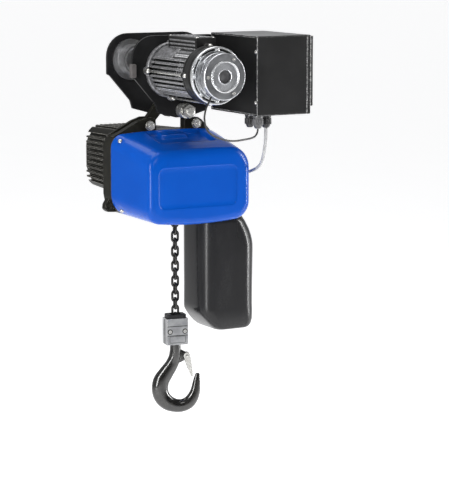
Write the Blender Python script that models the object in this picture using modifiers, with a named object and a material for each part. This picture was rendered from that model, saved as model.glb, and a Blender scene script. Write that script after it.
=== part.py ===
"""Electric chain hoist hanging from a powered beam trolley.

X runs along the beam, Y across it (the blue cover faces -Y) and Z up. The origin lies on the running surface
of the beam's lower flange, midway between the wheels and over the load bar. Sizes are in millimetres, and
each helper turns them into metres as it builds its mesh.
"""

import math

import bmesh
import bpy
from mathutils import Matrix, Vector

MM = 0.001
GAP = 0.3  # between faces that touch on the real hoist
RUNNING = 0.45  # radial clearance of a faceted shaft in a faceted hole

# Trolley
PLATE_IN = 51.0  # inner face of a side plate, from the beam's centre plane
PLATE_OUT = 57.0
PLATE_HALF = 107.0
PLATE_TOP = 81.0
PLATE_CORNER = 45.0
WHEEL_X = 57.5
AXLE_Z = 30.0
AXLE_R = 6.0
AXLE_HEAD_R = 8.0
AXLE_END = 59.7
TREAD_R = 30.0
TREAD_IN = 17.0
RIM_IN = 43.0
RIM_OUT = 50.0
LOAD_BAR_Z = -64.0
LOAD_BAR_R = 8.0

# Travel drive
WHEEL_MODULE = 2.5
WHEEL_TEETH = 32
SPUR_TEETH = 14
STAGE_MODULE = 1.5
STAGE_WHEEL_TEETH = 27
STAGE_PINION_TEETH = 12
TRAVEL_X = -25.0
TRAVEL_Z = 14.8
TRAVEL_FIN_R = 48.0

# Control box
BOX_LEFT, BOX_RIGHT = 63.0, 181.0
BOX_FRONT, BOX_BACK = -238.0, -60.0
BOX_LOW, BOX_HIGH = -65.0, 85.0
BOX_WALL = 2.0

# Hoist body
BODY_LEFT, BODY_RIGHT = -136.0, 134.0
BODY_TOP, BODY_LOW = -110.0, -264.0
CASTING_FRONT, CASTING_BACK = -20.0, 14.0
COVER_FRONT = -135.0
COVER_RADII = (28.0, 29.0, 38.0, 34.0)
LUG_X, LUG_Z = 51.0, -95.0
ARM_END_R = 9.3  # of the suspension bracket, round each bolt
MOTOR_X, MOTOR_Z = -4.0, -178.0
MOTOR_NEAR, MOTOR_FAR = 19.3, 232.0
MOTOR_TAPER = 0.11  # how much narrower the finned housing is at its far end
HOIST_WHEEL_TEETH = 51
HOIST_PINION_TEETH = 12
WHEEL_SHAFT_X = MOTOR_X + STAGE_MODULE * (HOIST_WHEEL_TEETH + HOIST_PINION_TEETH) / 2
BODY_RADII = (38.0, 30.0, 72.0, 24.0)  # low left, low right, high right, high left
CHAIN_X = 14.0
SLACK_X = 2 * WHEEL_SHAFT_X - CHAIN_X

# Chain, hook block and hook
WIRE = 5.0
PITCH = 15.0
LINK_WIDTH = 17.0
LINK_BITE = 0.75  # how far each link sinks into the next, so that a strand is one body
HOOK_YAW = math.radians(-18)
BLOCK_YAW = math.radians(-10)
BLOCK_HALF = 22.0
BLOCK_TOP, BLOCK_LOW = -484.0, -537.0
LATCH_X, LATCH_Z = 23.0, -562.0
PIN_Z = -488.6

BRAKE_CABLE = [
    (-45.5, -255.0, -24.6),
    (-50.0, -255.0, -33.0),
    (-56.0, -255.0, -45.0),
    (-59.0, -255.0, -63.0),
    (-51.0, -253.0, -85.0),
    (-26.0, -248.0, -100.0),
    (9.0, -240.0, -108.0),
    (44.0, -230.0, -107.5),
    (59.0, -226.0, -106.0),
    (67.0, -223.8, -103.5),
    (72.2, -222.5, -98.0),
    (74.0, -222.0, -91.5),
    (74.0, -222.0, -90.1),
]
HOIST_CABLE = [
    (97.0, -213.0, -89.6),
    (97.0, -213.0, -96.0),
    (97.0, -212.0, -113.0),
    (98.0, -206.5, -131.0),
    (102.5, -194.0, -146.5),
    (109.5, -177.0, -158.0),
    (118.3, -155.0, -167.5),
    (128.0, -128.0, -176.5),
    (136.5, -98.0, -184.5),
    (142.5, -70.0, -191.2),
    (145.2, -46.0, -195.8),
    (145.5, -32.0, -197.0),
    (145.5, -24.3, -197.0),
]
BRAKE_CABLE_R = 1.8
HOIST_CABLE_R = 3.2

# Name: colour, roughness, metallic
FINISHES = {
    "black_steel": ((0.02, 0.02, 0.022), 0.45, 0.0),
    "black_casting": ((0.03, 0.03, 0.03), 0.6, 0.0),
    "grey_casting": ((0.09, 0.09, 0.095), 0.55, 0.3),
    "blue_gloss": ((0.01, 0.1, 0.55), 0.2, 0.0),
    "zinc": ((0.62, 0.62, 0.6), 0.35, 1.0),
    "steel": ((0.35, 0.35, 0.36), 0.35, 1.0),
    "aluminium": ((0.6, 0.61, 0.63), 0.35, 1.0),
    "black_plastic": ((0.015, 0.015, 0.016), 0.4, 0.0),
    "rubber": ((0.07, 0.06, 0.055), 0.8, 0.0),
    "grey_cable": ((0.3, 0.3, 0.31), 0.5, 0.0),
    "black_cable": ((0.02, 0.02, 0.02), 0.5, 0.0),
    "copper": ((0.5, 0.22, 0.1), 0.4, 1.0),
}


def clear_scene():
    for obj in list(bpy.data.objects):
        bpy.data.objects.remove(obj)
    made = {}
    for name in ("chain_hoist", "cutters"):
        made[name] = bpy.data.collections.new(name)
        bpy.context.scene.collection.children.link(made[name])
    return made


COLLECTIONS = clear_scene()


def finish_of(name):
    if name in bpy.data.materials:
        return bpy.data.materials[name]
    colour, roughness, metallic = FINISHES[name]
    made = bpy.data.materials.new(name)
    made.use_nodes = True
    shader = made.node_tree.nodes["Principled BSDF"]
    shader.inputs["Base Color"].default_value = (*colour, 1)
    shader.inputs["Roughness"].default_value = roughness
    shader.inputs["Metallic"].default_value = metallic
    return made


def add(name, finish, mesh, pivot=(0, 0, 0), smooth=True):
    """A part from a mesh in world metres, with its origin at pivot in millimetres."""
    place = Vector(pivot) * MM
    mesh.transform(Matrix.Translation(-place))
    obj = bpy.data.objects.new(name, mesh)
    obj.location = place
    COLLECTIONS["chain_hoist"].objects.link(obj)
    mesh.materials.clear()
    mesh.materials.append(finish_of(finish))
    if smooth:
        mesh.shade_smooth()
        mesh.set_sharp_from_angle(angle=math.radians(35))
    return obj


def as_cutter(obj):
    COLLECTIONS["chain_hoist"].objects.unlink(obj)
    COLLECTIONS["cutters"].objects.link(obj)
    obj.hide_render = True
    obj.display_type = "WIRE"
    return obj


def boolean(target, other, operation):
    step = target.modifiers.new(other.name, "BOOLEAN")
    step.operation = operation
    step.object = as_cutter(other)


def cut(target, *others):
    for other in others:
        boolean(target, other, "DIFFERENCE")


def join(target, *others):
    for other in others:
        boolean(target, other, "UNION")


def soften(obj, width, segments=1, angle=40):
    step = obj.modifiers.new("soften", "BEVEL")
    step.width = width * MM
    step.segments = segments
    step.limit_method = "ANGLE"
    step.angle_limit = math.radians(angle)


def yawed(x, y, z):
    """A point beside the load chain, turned with the hook about the chain's axis."""
    turned_point = Matrix.Rotation(HOOK_YAW, 3, "Z") @ Vector((x, y, z))
    return turned_point + Vector((CHAIN_X, 0, 0))


def yaw_matrix(yaw=HOOK_YAW):
    return Matrix.Translation(Vector((CHAIN_X, 0, 0)) * MM) @ Matrix.Rotation(yaw, 4, "Z")


# Outlines


def arc(x, y, radius, start, end, steps):
    """Points on an arc, from start to end in degrees."""
    angles = [math.radians(start + (end - start) * i / steps) for i in range(steps + 1)]
    return [(x + radius * math.cos(a), y + radius * math.sin(a)) for a in angles]


def circle(x, y, radius, steps=20):
    return arc(x, y, radius, 0, 360, steps)[:-1]


def rectangle(left, right, low, high):
    return [(left, low), (right, low), (right, high), (left, high)]


def rounded(left, right, low, high, radius, steps=4):
    """The radius is one number, or four: low left, low right, high right and high left."""
    a, b, c, d = radius if isinstance(radius, tuple) else [radius] * 4
    return (
        arc(left + a, low + a, a, 180, 270, steps)
        + arc(right - b, low + b, b, 270, 360, steps)
        + arc(right - c, high - c, c, 0, 90, steps)
        + arc(left + d, high - d, d, 90, 180, steps)
    )


def mirrored(points):
    """An outline drawn for +X, followed by its other half."""
    return points + [(-x, y) for x, y in reversed(points)]


def gear(x, y, module, teeth, phase=0.0):
    """A spur gear's outline: four points a tooth, with backlash. Phase is in teeth."""
    pitch_r = module * teeth / 2
    step = 2 * math.pi / teeth
    points = []
    for tooth in range(teeth):
        middle = (tooth + phase) * step
        for radius, share in ((-1.15, -0.29), (0.85, -0.12), (0.85, 0.12), (-1.15, 0.29)):
            r = pitch_r + radius * module
            angle = middle + share * step
            points.append((x + r * math.cos(angle), y + r * math.sin(angle)))
    return points


def ribbed(x, y, half, corner, depth, pitch, rib, ribs):
    """A rounded square or circle with ribs standing straight out of its four sides."""
    side = []
    for index in range(ribs):
        middle = (index - (ribs - 1) / 2) * pitch
        for offset, inwards in ((-rib / 2, depth), (-rib / 2, 0), (rib / 2, 0), (rib / 2, depth)):
            along = middle + offset
            past = max(0.0, abs(along) - (half - corner))
            out = half - corner + math.sqrt(max(0.0, corner**2 - past**2))
            side.append((out - inwards, along))
    side = side[1:-1]
    points = []
    for turn in range(4):
        a = turn * math.pi / 2
        c, s = math.cos(a), math.sin(a)
        points += [(x + u * c - v * s, y + u * s + v * c) for u, v in side]
    return points


def body_section(left, right, low, high, radii, crown_top, crown_low):
    """The hoist's outline: a rounded rectangle whose top and bottom bow outwards."""
    middle, half = (left + right) / 2, (right - left) / 2
    corners = rounded(left, right, low, high, radii)
    per_corner = len(corners) // 4
    quarters = (corners[i * per_corner : (i + 1) * per_corner] for i in range(4))
    low_left, low_right, high_right, high_left = quarters
    outline = low_left + between(low_left[-1], low_right[0]) + low_right
    outline += high_right + between(high_right[-1], high_left[0]) + high_left
    bowed = []
    for x, z in outline:
        lift = 1 - ((x - middle) / half) ** 2
        share = (z - low) / (high - low)
        bowed.append((x, z + lift * (crown_top * share - crown_low * (1 - share))))
    return bowed


def between(start, end, count=4):
    """Even points on a straight edge, without its ends."""
    steps = [i / (count + 1) for i in range(1, count + 1)]
    return [(start[0] + (end[0] - start[0]) * t, start[1] + (end[1] - start[1]) * t) for t in steps]


# Solids

AXES = {
    "X": Matrix(((0, 0, 1, 0), (1, 0, 0, 0), (0, 1, 0, 0), (0, 0, 0, 1))),
    "Y": Matrix.Rotation(math.pi / 2, 4, "X"),
    "Z": Matrix.Identity(4),
}


def to_mesh(obj):
    """The mesh of a curve object, in world space, with its caps welded to its sides."""
    bpy.context.scene.collection.objects.link(obj)
    bpy.context.view_layer.update()
    graph = bpy.context.evaluated_depsgraph_get()
    mesh = bpy.data.meshes.new_from_object(obj.evaluated_get(graph))
    mesh.transform(obj.matrix_world)
    bpy.data.objects.remove(obj)
    shape = bmesh.new()
    shape.from_mesh(mesh)
    bmesh.ops.remove_doubles(shape, verts=shape.verts, dist=1e-6)
    bmesh.ops.recalc_face_normals(shape, faces=shape.faces)
    shape.to_mesh(mesh)
    shape.free()
    return mesh


def plate(name, finish, outlines, axis, low, high, pivot=(0, 0, 0), matrix=None):
    """A flat outline with its holes, thick from low to high along an axis."""
    curve = bpy.data.curves.new(name, "CURVE")
    curve.dimensions = "2D"
    curve.fill_mode = "BOTH"
    curve.extrude = (high - low) / 2 * MM
    for outline in outlines:
        spline = curve.splines.new("POLY")
        spline.points.add(len(outline) - 1)
        for point, (u, v) in zip(spline.points, outline):
            point.co = (u * MM, v * MM, 0, 1)
        spline.use_cyclic_u = True
    obj = bpy.data.objects.new(name, curve)
    along = {"X": (1, 0, 0), "Y": (0, 1, 0), "Z": (0, 0, 1)}[axis]
    middle = Matrix.Translation(Vector(along) * (low + high) / 2 * MM)
    obj.matrix_world = (matrix or Matrix.Identity(4)) @ middle @ AXES[axis]
    return add(name, finish, to_mesh(obj), pivot)


def block(name, finish, low, high, bevel=0.0, segments=2, matrix=None):
    shape = bmesh.new()
    bmesh.ops.create_cube(shape, size=1)
    for vertex in shape.verts:
        for i in range(3):
            vertex.co[i] = (low[i] + high[i] + (high[i] - low[i]) * 2 * vertex.co[i]) / 2 * MM
    if bevel:
        edges = list(shape.edges)
        bmesh.ops.bevel(shape, geom=edges, offset=bevel * MM, segments=segments, profile=0.5, affect="EDGES")
    mesh = bpy.data.meshes.new(name)
    shape.to_mesh(mesh)
    shape.free()
    if matrix:
        mesh.transform(matrix)
    return add(name, finish, mesh)


def turned(name, finish, profile, axis, centre, steps=20):
    """A turned part. The profile holds (place along the axis, radius); centre holds the other two places."""
    closed = profile[0] == profile[-1]
    points = profile[:-1] if closed else profile
    area = 0.0
    for (h0, r0), (h1, r1) in zip(points, points[1:] + points[:1]):
        area += r0 * h1 - r1 * h0
    if area > 0:
        points = points[::-1]
    mesh = bpy.data.meshes.new(name)
    edges = [(i, i + 1) for i in range(len(points) - 1)]
    if closed:
        edges.append((len(points) - 1, 0))
    mesh.from_pydata([(r * MM, 0, h * MM) for h, r in points], edges, [])
    obj = bpy.data.objects.new(name, mesh)
    COLLECTIONS["chain_hoist"].objects.link(obj)
    mesh.materials.append(finish_of(finish))
    if axis == "Y":
        obj.location = Vector((centre[0], 0, centre[1])) * MM
        obj.rotation_euler = (-math.pi / 2, 0, 0)
    elif axis == "X":
        obj.location = Vector((0, centre[0], centre[1])) * MM
        obj.rotation_euler = (0, math.pi / 2, 0)
    else:
        obj.location = Vector((centre[0], centre[1], 0)) * MM
    step = obj.modifiers.new("turn", "SCREW")
    step.steps = steps
    step.render_steps = steps
    step.use_merge_vertices = True
    step.merge_threshold = 1e-5
    return obj


def rod(name, finish, axis, centre, low, high, radius, steps=20):
    return turned(name, finish, [(low, 0), (low, radius), (high, radius), (high, 0)], axis, centre, steps)


def ring(name, finish, axis, centre, low, high, inner, outer, steps=20):
    profile = [(low, inner), (low, outer), (high, outer), (high, inner), (low, inner)]
    return turned(name, finish, profile, axis, centre, steps)


def swept(name, finish, paths, radius, radii=None, closed=False, sides=2, pivot=(0, 0, 0)):
    """Round wire along each path of points."""
    curve = bpy.data.curves.new(name, "CURVE")
    curve.dimensions = "3D"
    curve.bevel_depth = radius * MM
    curve.bevel_resolution = sides
    curve.use_fill_caps = True
    for path in paths:
        spline = curve.splines.new("POLY")
        spline.points.add(len(path) - 1)
        for i, (point, place) in enumerate(zip(spline.points, path)):
            point.co = (*(Vector(place) * MM), 1)
            point.radius = radii[i] / radius if radii else 1
        spline.use_cyclic_u = closed
    return add(name, finish, to_mesh(bpy.data.objects.new(name, curve)), pivot)


def smooth_path(points, spacing):
    """Even points on a Catmull-Rom curve through the route."""
    ends = [Vector(p) for p in points]
    ends = [2 * ends[0] - ends[1], *ends, 2 * ends[-1] - ends[-2]]
    fine = []
    for a, b, c, d in zip(ends, ends[1:], ends[2:], ends[3:]):
        for i in range(20):
            t = i / 20
            fine.append(
                (2 * b + (c - a) * t + (2 * a - 5 * b + 4 * c - d) * t**2 + (3 * b - 3 * c + d - a) * t**3) / 2
            )
    fine.append(ends[-2])
    length = sum((q - p).length for p, q in zip(fine, fine[1:]))
    count = max(2, round(length / spacing))
    path, walked, wanted = [fine[0]], 0.0, length / count
    for p, q in zip(fine, fine[1:]):
        step = (q - p).length
        while walked + step >= wanted - 1e-9 and len(path) < count:
            path.append(p.lerp(q, (wanted - walked) / step))
            wanted += length / count
        walked += step
    return [*path, fine[-1]]


def loft(name, finish, sections, axis, thickness=0.0, open_end=False, pivot=(0, 0, 0)):
    """A skin through sections of equal point count: (place along the axis, outline)."""
    shape = bmesh.new()
    rings = []
    for place, outline in sections:
        if axis == "Y":
            rings.append([shape.verts.new(Vector((u, place, v)) * MM) for u, v in outline])
        else:
            rings.append([shape.verts.new(Vector((u, v, place)) * MM) for u, v in outline])
    for lower, upper in zip(rings, rings[1:]):
        for i in range(len(lower)):
            j = (i + 1) % len(lower)
            shape.faces.new((lower[i], lower[j], upper[j], upper[i]))
    if not open_end:
        shape.faces.new(rings[0])
    shape.faces.new(rings[-1])
    bmesh.ops.recalc_face_normals(shape, faces=shape.faces)
    if open_end and skin_faces_inwards(shape):
        bmesh.ops.reverse_faces(shape, faces=shape.faces)
    mesh = bpy.data.meshes.new(name)
    shape.to_mesh(mesh)
    shape.free()
    obj = add(name, finish, mesh, pivot)
    if thickness:
        step = obj.modifiers.new("wall", "SOLIDIFY")
        step.thickness = thickness * MM
        step.offset = -1
        step.use_even_offset = True
    return obj


def skin_faces_inwards(shape):
    middle = sum((v.co for v in shape.verts), Vector()) / len(shape.verts)
    return sum(f.normal.dot(f.calc_center_median() - middle) * f.calc_area() for f in shape.faces) < 0


# Trolley


def side_plates():
    half = [(13, -78), (52, -67), (57, -51), (101, -1), (PLATE_HALF, 2)]
    half += arc(PLATE_HALF - PLATE_CORNER, PLATE_TOP - PLATE_CORNER, PLATE_CORNER, 0, 90, 8)
    outline = mirrored(half)
    for side, name in ((-1, "side_plate_front"), (1, "side_plate_rear")):
        holes = [circle(x, AXLE_Z, AXLE_R + RUNNING, 16) for x in (-WHEEL_X, WHEEL_X)]
        holes.append(circle(0, LOAD_BAR_Z, LOAD_BAR_R + RUNNING))
        if side < 0:
            holes.append(circle(0, AXLE_Z, 11, 16))
        low, high = sorted((side * PLATE_IN, side * PLATE_OUT))
        plate(name, "black_steel", [outline, *holes], "Y", low, high)


def load_bar():
    rod("load_bar", "zinc", "Y", (0, LOAD_BAR_Z), -94, 94, LOAD_BAR_R)
    for side, place in ((-1, "front"), (1, "rear")):
        low, high = sorted((side * (PLATE_OUT + GAP), side * 78))
        inner = LOAD_BAR_R + RUNNING
        ring(f"load_sleeve_{place}", "zinc", "Y", (0, LOAD_BAR_Z), low, high, inner, 14.5)
        low, high = sorted((side * (78 + GAP), side * 91))
        outlines = [circle(0, LOAD_BAR_Z, 13.9, 6), circle(0, LOAD_BAR_Z, inner, 16)]
        plate(f"load_nut_{place}", "zinc", outlines, "Y", low, high)


def wheels():
    for side, row in ((-1, "front"), (1, "rear")):
        for x, place in ((-WHEEL_X, "left"), (WHEEL_X, "right")):
            bore = AXLE_R + RUNNING
            profile = [(TREAD_IN, bore), (TREAD_IN, TREAD_R), (RIM_IN, TREAD_R)]
            rim = 36.0 if side < 0 else 40.0
            profile += [(RIM_IN, rim), (RIM_OUT, rim), (RIM_OUT, bore), (TREAD_IN, bore)]
            profile = [(side * h, r) for h, r in profile]
            wheel = turned(f"travel_wheel_{row}_{place}", "steel", profile, "Y", (x, AXLE_Z))
            if side < 0:
                phase = 0.5 if x < 0 else 0.5 + WHEEL_TEETH / 2
                teeth = [gear(x, AXLE_Z, WHEEL_MODULE, WHEEL_TEETH, phase), circle(x, AXLE_Z, 33)]
                join(wheel, plate(f"rim_{place}", "steel", teeth, "Y", -RIM_OUT + 0.5, -RIM_IN - 0.5))
            axle = [(16, 0), (16, AXLE_R), (PLATE_OUT + GAP, AXLE_R), (PLATE_OUT + GAP, AXLE_HEAD_R)]
            axle += [(AXLE_END, AXLE_HEAD_R), (AXLE_END, 0)]
            axle = [(side * h, r) for h, r in axle]
            turned(f"wheel_axle_{row}_{place}", "zinc", axle, "Y", (x, AXLE_Z), 16)


def buffers():
    block("buffer_left", "rubber", (-114, -68, 2.4), (-102.5, -PLATE_OUT - GAP, 28.5), 1.5, 1)
    block("buffer_right", "rubber", (PLATE_HALF + GAP, -58, 2.4), (118, -47, 28.5), 1.5, 1)


def travel_gears():
    """The geared shaft between the motor and the front wheels, and the motor's rotor."""
    spur = plate(
        "travel_gear_shaft",
        "steel",
        [gear(0, AXLE_Z, WHEEL_MODULE, SPUR_TEETH)],
        "Y",
        -RIM_OUT,
        -RIM_IN,
        (0, 0, AXLE_Z),
    )
    toward = math.atan2(TRAVEL_Z - AXLE_Z, TRAVEL_X)
    phase = 0.5 + toward / (2 * math.pi) * STAGE_WHEEL_TEETH
    stage = [gear(0, AXLE_Z, STAGE_MODULE, STAGE_WHEEL_TEETH, phase)]
    join(spur, plate("stage_wheel", "steel", stage, "Y", -64.5, -58.5))
    join(spur, rod("spur_shaft", "steel", "Y", (0, AXLE_Z), -65.2, -42, 7, 12))

    core = turned(
        "travel_rotor",
        "steel",
        [(-258, 0), (-258, 6), (-190, 6), (-190, 29), (-80, 29), (-80, 6), (-58, 6), (-58, 0)],
        "Y",
        (TRAVEL_X, TRAVEL_Z),
        20,
    )
    phase = (toward + math.pi) / (2 * math.pi) * STAGE_PINION_TEETH
    pinion = [gear(TRAVEL_X, TRAVEL_Z, STAGE_MODULE, STAGE_PINION_TEETH, phase)]
    join(core, plate("stage_pinion", "steel", pinion, "Y", -64.5, -58.5))
    join(core, rod("travel_brake_disc", "steel", "Y", (TRAVEL_X, TRAVEL_Z), -246, -239, 34))


def travel_motor():
    centre = (TRAVEL_X, TRAVEL_Z)
    wheel_room = circle(0, AXLE_Z, 22.5, 20)
    flange = plate("travel_motor_flange", "grey_casting", [circle(*centre, 54, 32)], "Y", -66, -57.3)
    cut(
        flange,
        plate("stage_wheel_room", "steel", [wheel_room], "Y", -65.7, -57),
        rod("stage_pinion_room", "steel", "Y", centre, -66.5, -57, 12, 16),
        rod("axle_head_room", "steel", "Y", (-WHEEL_X, AXLE_Z), -60.2, -57, AXLE_HEAD_R + 1, 16),
    )
    fins = ribbed(*centre, TRAVEL_FIN_R, TRAVEL_FIN_R, 7.0, 8.6, 3.6, 9)
    plate("travel_motor_housing", "grey_casting", [fins, circle(*centre, 38.5)], "Y", -205, -66.3)
    cover = block("travel_terminal_cover", "black_casting", (-46, -200, 48), (-4, -88, 83), 2.5, 2)
    cut(cover, rod("terminal_saddle", "steel", "Y", centre, -210, -80, TRAVEL_FIN_R + GAP, 32))
    shield = [(-205.3, 6.8), (-205.3, 54), (-230, 54), (-236.7, 50), (-236.7, 6.8), (-205.3, 6.8)]
    turned("travel_motor_shield", "black_casting", shield, "Y", centre, 32)
    slots = []
    for index in range(8):
        start = index * 45 + 7
        slots.append(arc(*centre, 51, start, start + 31, 3) + arc(*centre, 46.5, start + 31, start, 3))
    ring_outlines = [circle(*centre, 54, 32), circle(*centre, 44, 32), *slots]
    plate("brake_flange_ring", "aluminium", ring_outlines, "Y", -243, -237)
    magnet = [
        (-237, 35.5),
        (-237, 43.5),
        (-262, 43.5),
        (-262, 42),
        (-264, 42),
        (-264, 43.5),
        (-270.5, 43.5),
        (-272, 42),
        (-272, 29.5),
        (-274, 29),
        (-274, 26.5),
        (-271, 26),
        (-271, 12.5),
        (-248, 12.5),
        (-248, 35.5),
        (-237, 35.5),
    ]
    turned("brake_magnet", "aluminium", magnet, "Y", centre, 28)


def control_box():
    outer = rounded(BOX_FRONT, BOX_BACK, BOX_LOW, BOX_HIGH, 2.5, 2)
    inset = BOX_WALL
    inner = rectangle(BOX_FRONT + inset, BOX_BACK - inset, BOX_LOW + inset, BOX_HIGH - inset)
    lid_line = 173.0
    plate("control_box_shell", "black_steel", [outer, inner], "X", BOX_LEFT, lid_line - GAP)
    lid = plate("control_box_lid", "black_steel", [outer], "X", lid_line, BOX_RIGHT)
    room = [BOX_FRONT + 4, BOX_BACK - 4, BOX_LOW + 4, BOX_HIGH - 4]
    cut(lid, plate("lid_room", "black_steel", [rectangle(*room)], "X", lid_line - 5, BOX_RIGHT - 2))
    join(lid, block("lid_strip", "black_steel", (BOX_RIGHT - 0.5, BOX_FRONT, -50), (186, -224, 83), 1.0, 1))
    inset = BOX_WALL + GAP
    panel = rectangle(BOX_FRONT + inset, BOX_BACK - inset, BOX_LOW + inset, BOX_HIGH - inset)
    panel_holes = [circle(-228, z, 2.9, 10) for z in (55, -40)]
    plate("control_box_panel", "black_steel", [panel, *panel_holes], "X", BOX_LEFT + 3, BOX_LEFT + 4.5)
    contactor = block("contactor_block", "black_plastic", (85, -170, -30), (130, -80, 55))
    join(contactor, block("contactor_face", "black_plastic", (125, -155, -10), (150, -95, 35)))
    block("control_box_bracket", "black_steel", (68, -59.7, 5), (98, PLATE_OUT * -1 - GAP, 58))
    for place, x, y, radius in (("rear", 74, -192, 10), ("brake", 74, -222, 10.5), ("hoist", 97, -213, 10.5)):
        low = BOX_LOW - GAP
        profile = [
            (low, 0),
            (low, radius),
            (low - 4, radius),
            (low - 4.5, radius - 1.5),
            (low - 6, radius - 1.5),
            (low - 6.5, radius),
            (low - 18, radius - 0.5),
            (low - 24, radius - 4.5),
            (low - 24, 0),
        ]
        turned(f"cable_gland_{place}", "black_plastic", profile, "Z", (x, y), 12)


def cables():
    route = smooth_path(BRAKE_CABLE, 2.6 * BRAKE_CABLE_R * 2)
    swept("brake_cable", "black_cable", [route], BRAKE_CABLE_R, sides=2)
    route = smooth_path(HOIST_CABLE, 2.2 * HOIST_CABLE_R * 2)
    swept("hoist_cable", "grey_cable", [route], HOIST_CABLE_R, sides=2)


# Hoist


def suspension():
    outer = arc(0, LOAD_BAR_Z, 17, 90, 40, 3)[:3] + [(31, -56)]
    outer += arc(LUG_X, LUG_Z, ARM_END_R, 55, -125, 6)
    outer += [(LUG_X - 19.5, LUG_Z + 7), (20, LOAD_BAR_Z - 11)] + arc(0, LOAD_BAR_Z, 17, -50, -90, 2)
    left = [(-x, z) for x, z in reversed(outer)][1:-1]
    holes = [circle(0, LOAD_BAR_Z, LOAD_BAR_R + RUNNING, 20)]
    holes += [circle(x, LUG_Z, 5 + RUNNING, 12) for x in (-LUG_X, LUG_X)]
    plate("suspension_bracket", "black_steel", [outer + left, *holes], "Y", -5, 5, (0, 0, LOAD_BAR_Z))
    for x, place in ((-LUG_X, "left"), (LUG_X, "right")):
        shank = [(-22, 0), (-22, 10), (-20.3, 10), (-20.3, 5), (14.3, 5), (14.3, 9), (22, 9), (22, 0)]
        bolt = turned(f"suspension_bolt_{place}", "zinc", shank, "Y", (x, LUG_Z), 16)
        join(bolt, plate(f"bolt_head_{place}", "zinc", [circle(x, LUG_Z, 9.4, 6)], "Y", -28.5, -21.5))


def casting_outlines():
    outer = body_section(BODY_LEFT, BODY_RIGHT, BODY_LOW, BODY_TOP, BODY_RADII, 6, 8)
    inner = rounded(BODY_LEFT + 7, BODY_RIGHT - 7, -254, -117, inset_radii(6))
    return outer, inner


def inset_radii(inset):
    return tuple(radius - inset for radius in BODY_RADII)


def casting():
    outer, inner = casting_outlines()
    housing = plate("gear_housing", "black_casting", [outer, inner], "Y", CASTING_FRONT, CASTING_BACK)
    wall = rounded(BODY_LEFT + 4, BODY_RIGHT - 4, -260, -113, inset_radii(3))
    holes = [circle(MOTOR_X, MOTOR_Z, 9.5, 16), circle(WHEEL_SHAFT_X, MOTOR_Z, 8 + RUNNING, 16)]
    join(housing, plate("back_wall", "black_casting", [wall, *holes], "Y", CASTING_BACK - 0.5, 19))
    left = [(-127, -117.3), (-130, -113), (-77, -86), (-57, -79.5), (-44, -79.5), (-38, -84)]
    left += [(-36, -112), (-60, -114)]
    right_front = [(26, -113), (26, -88), (31, -83), (56, -83), (64, -88), (86, -113)]
    right_rear = [(34, -113), (34, -88), (38, -83), (56, -83), (64, -88), (86, -113)]
    faces = ((CASTING_FRONT + 0.2, -6.5, "front", right_front), (6.5, CASTING_BACK - 0.2, "rear", right_rear))
    for low, high, face, right in faces:
        for outline, x, place in ((left, -LUG_X, "left"), (right, LUG_X, "right")):
            ear = [outline, circle(x, LUG_Z, 5 + RUNNING, 12)]
            join(housing, plate(f"ear_{place}_{face}", "black_casting", ear, "Y", low, high))
    lug = [(-131, -228), (-142, -245), (-143, -254), (-137, -260), (-121, -261), (-108, -254)]
    join(housing, plate("lower_lug", "black_casting", [lug], "Y", -8, 6))
    for x in (CHAIN_X, SLACK_X):
        low, high = (x - 12.5, -12.5, -285), (x + 12.5, 12.5, -240)
        cut(housing, block(f"chain_exit_{round(x)}", "steel", low, high))
    plate("chain_guide", "black_plastic", chain_guide_outlines(), "Z", -253.6, -240)
    plate("bearing_plate", "steel", bearing_plate_outlines(), "Y", -19.5, -16)


def chain_guide_outlines():
    holes = [rectangle(x - 11.5, x + 11.5, -11, 11) for x in (CHAIN_X, SLACK_X)]
    return [rounded(-4, 92, -15, 13, 3, 2), *holes]


def bearing_plate_outlines():
    outline = rounded(BODY_LEFT + 7.5, BODY_RIGHT - 7.5, -253.5, -117.5, inset_radii(6.2))
    return [outline, circle(MOTOR_X, MOTOR_Z, 9.5, 16), circle(WHEEL_SHAFT_X, MOTOR_Z, 8 + RUNNING, 16)]


def cover():
    def section(inset, share):
        """From the casting's outline at share 0 to the front face at share 1."""
        left = BODY_LEFT + share * 24 + inset
        right = BODY_RIGHT - share * 22 - inset
        low = BODY_LOW - share * 7 + inset
        high = BODY_TOP - share * 24 - 1.5 * inset
        radii = tuple(a + (b - a) * share - 0.4 * inset for a, b in zip(BODY_RADII, COVER_RADII))
        return body_section(left, right, low, high, radii, 6 - 3 * share, 8)

    sections = [(CASTING_FRONT - 1.2, section(0, 0)), (-32, section(0, 0.1)), (-120, section(0, 0.98))]
    sections += [(-128, section(1.8, 1)), (-133, section(6, 1)), (COVER_FRONT, section(12, 1))]
    loft("front_cover", "blue_gloss", sections, "Y", 3.5, open_end=True)


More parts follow.
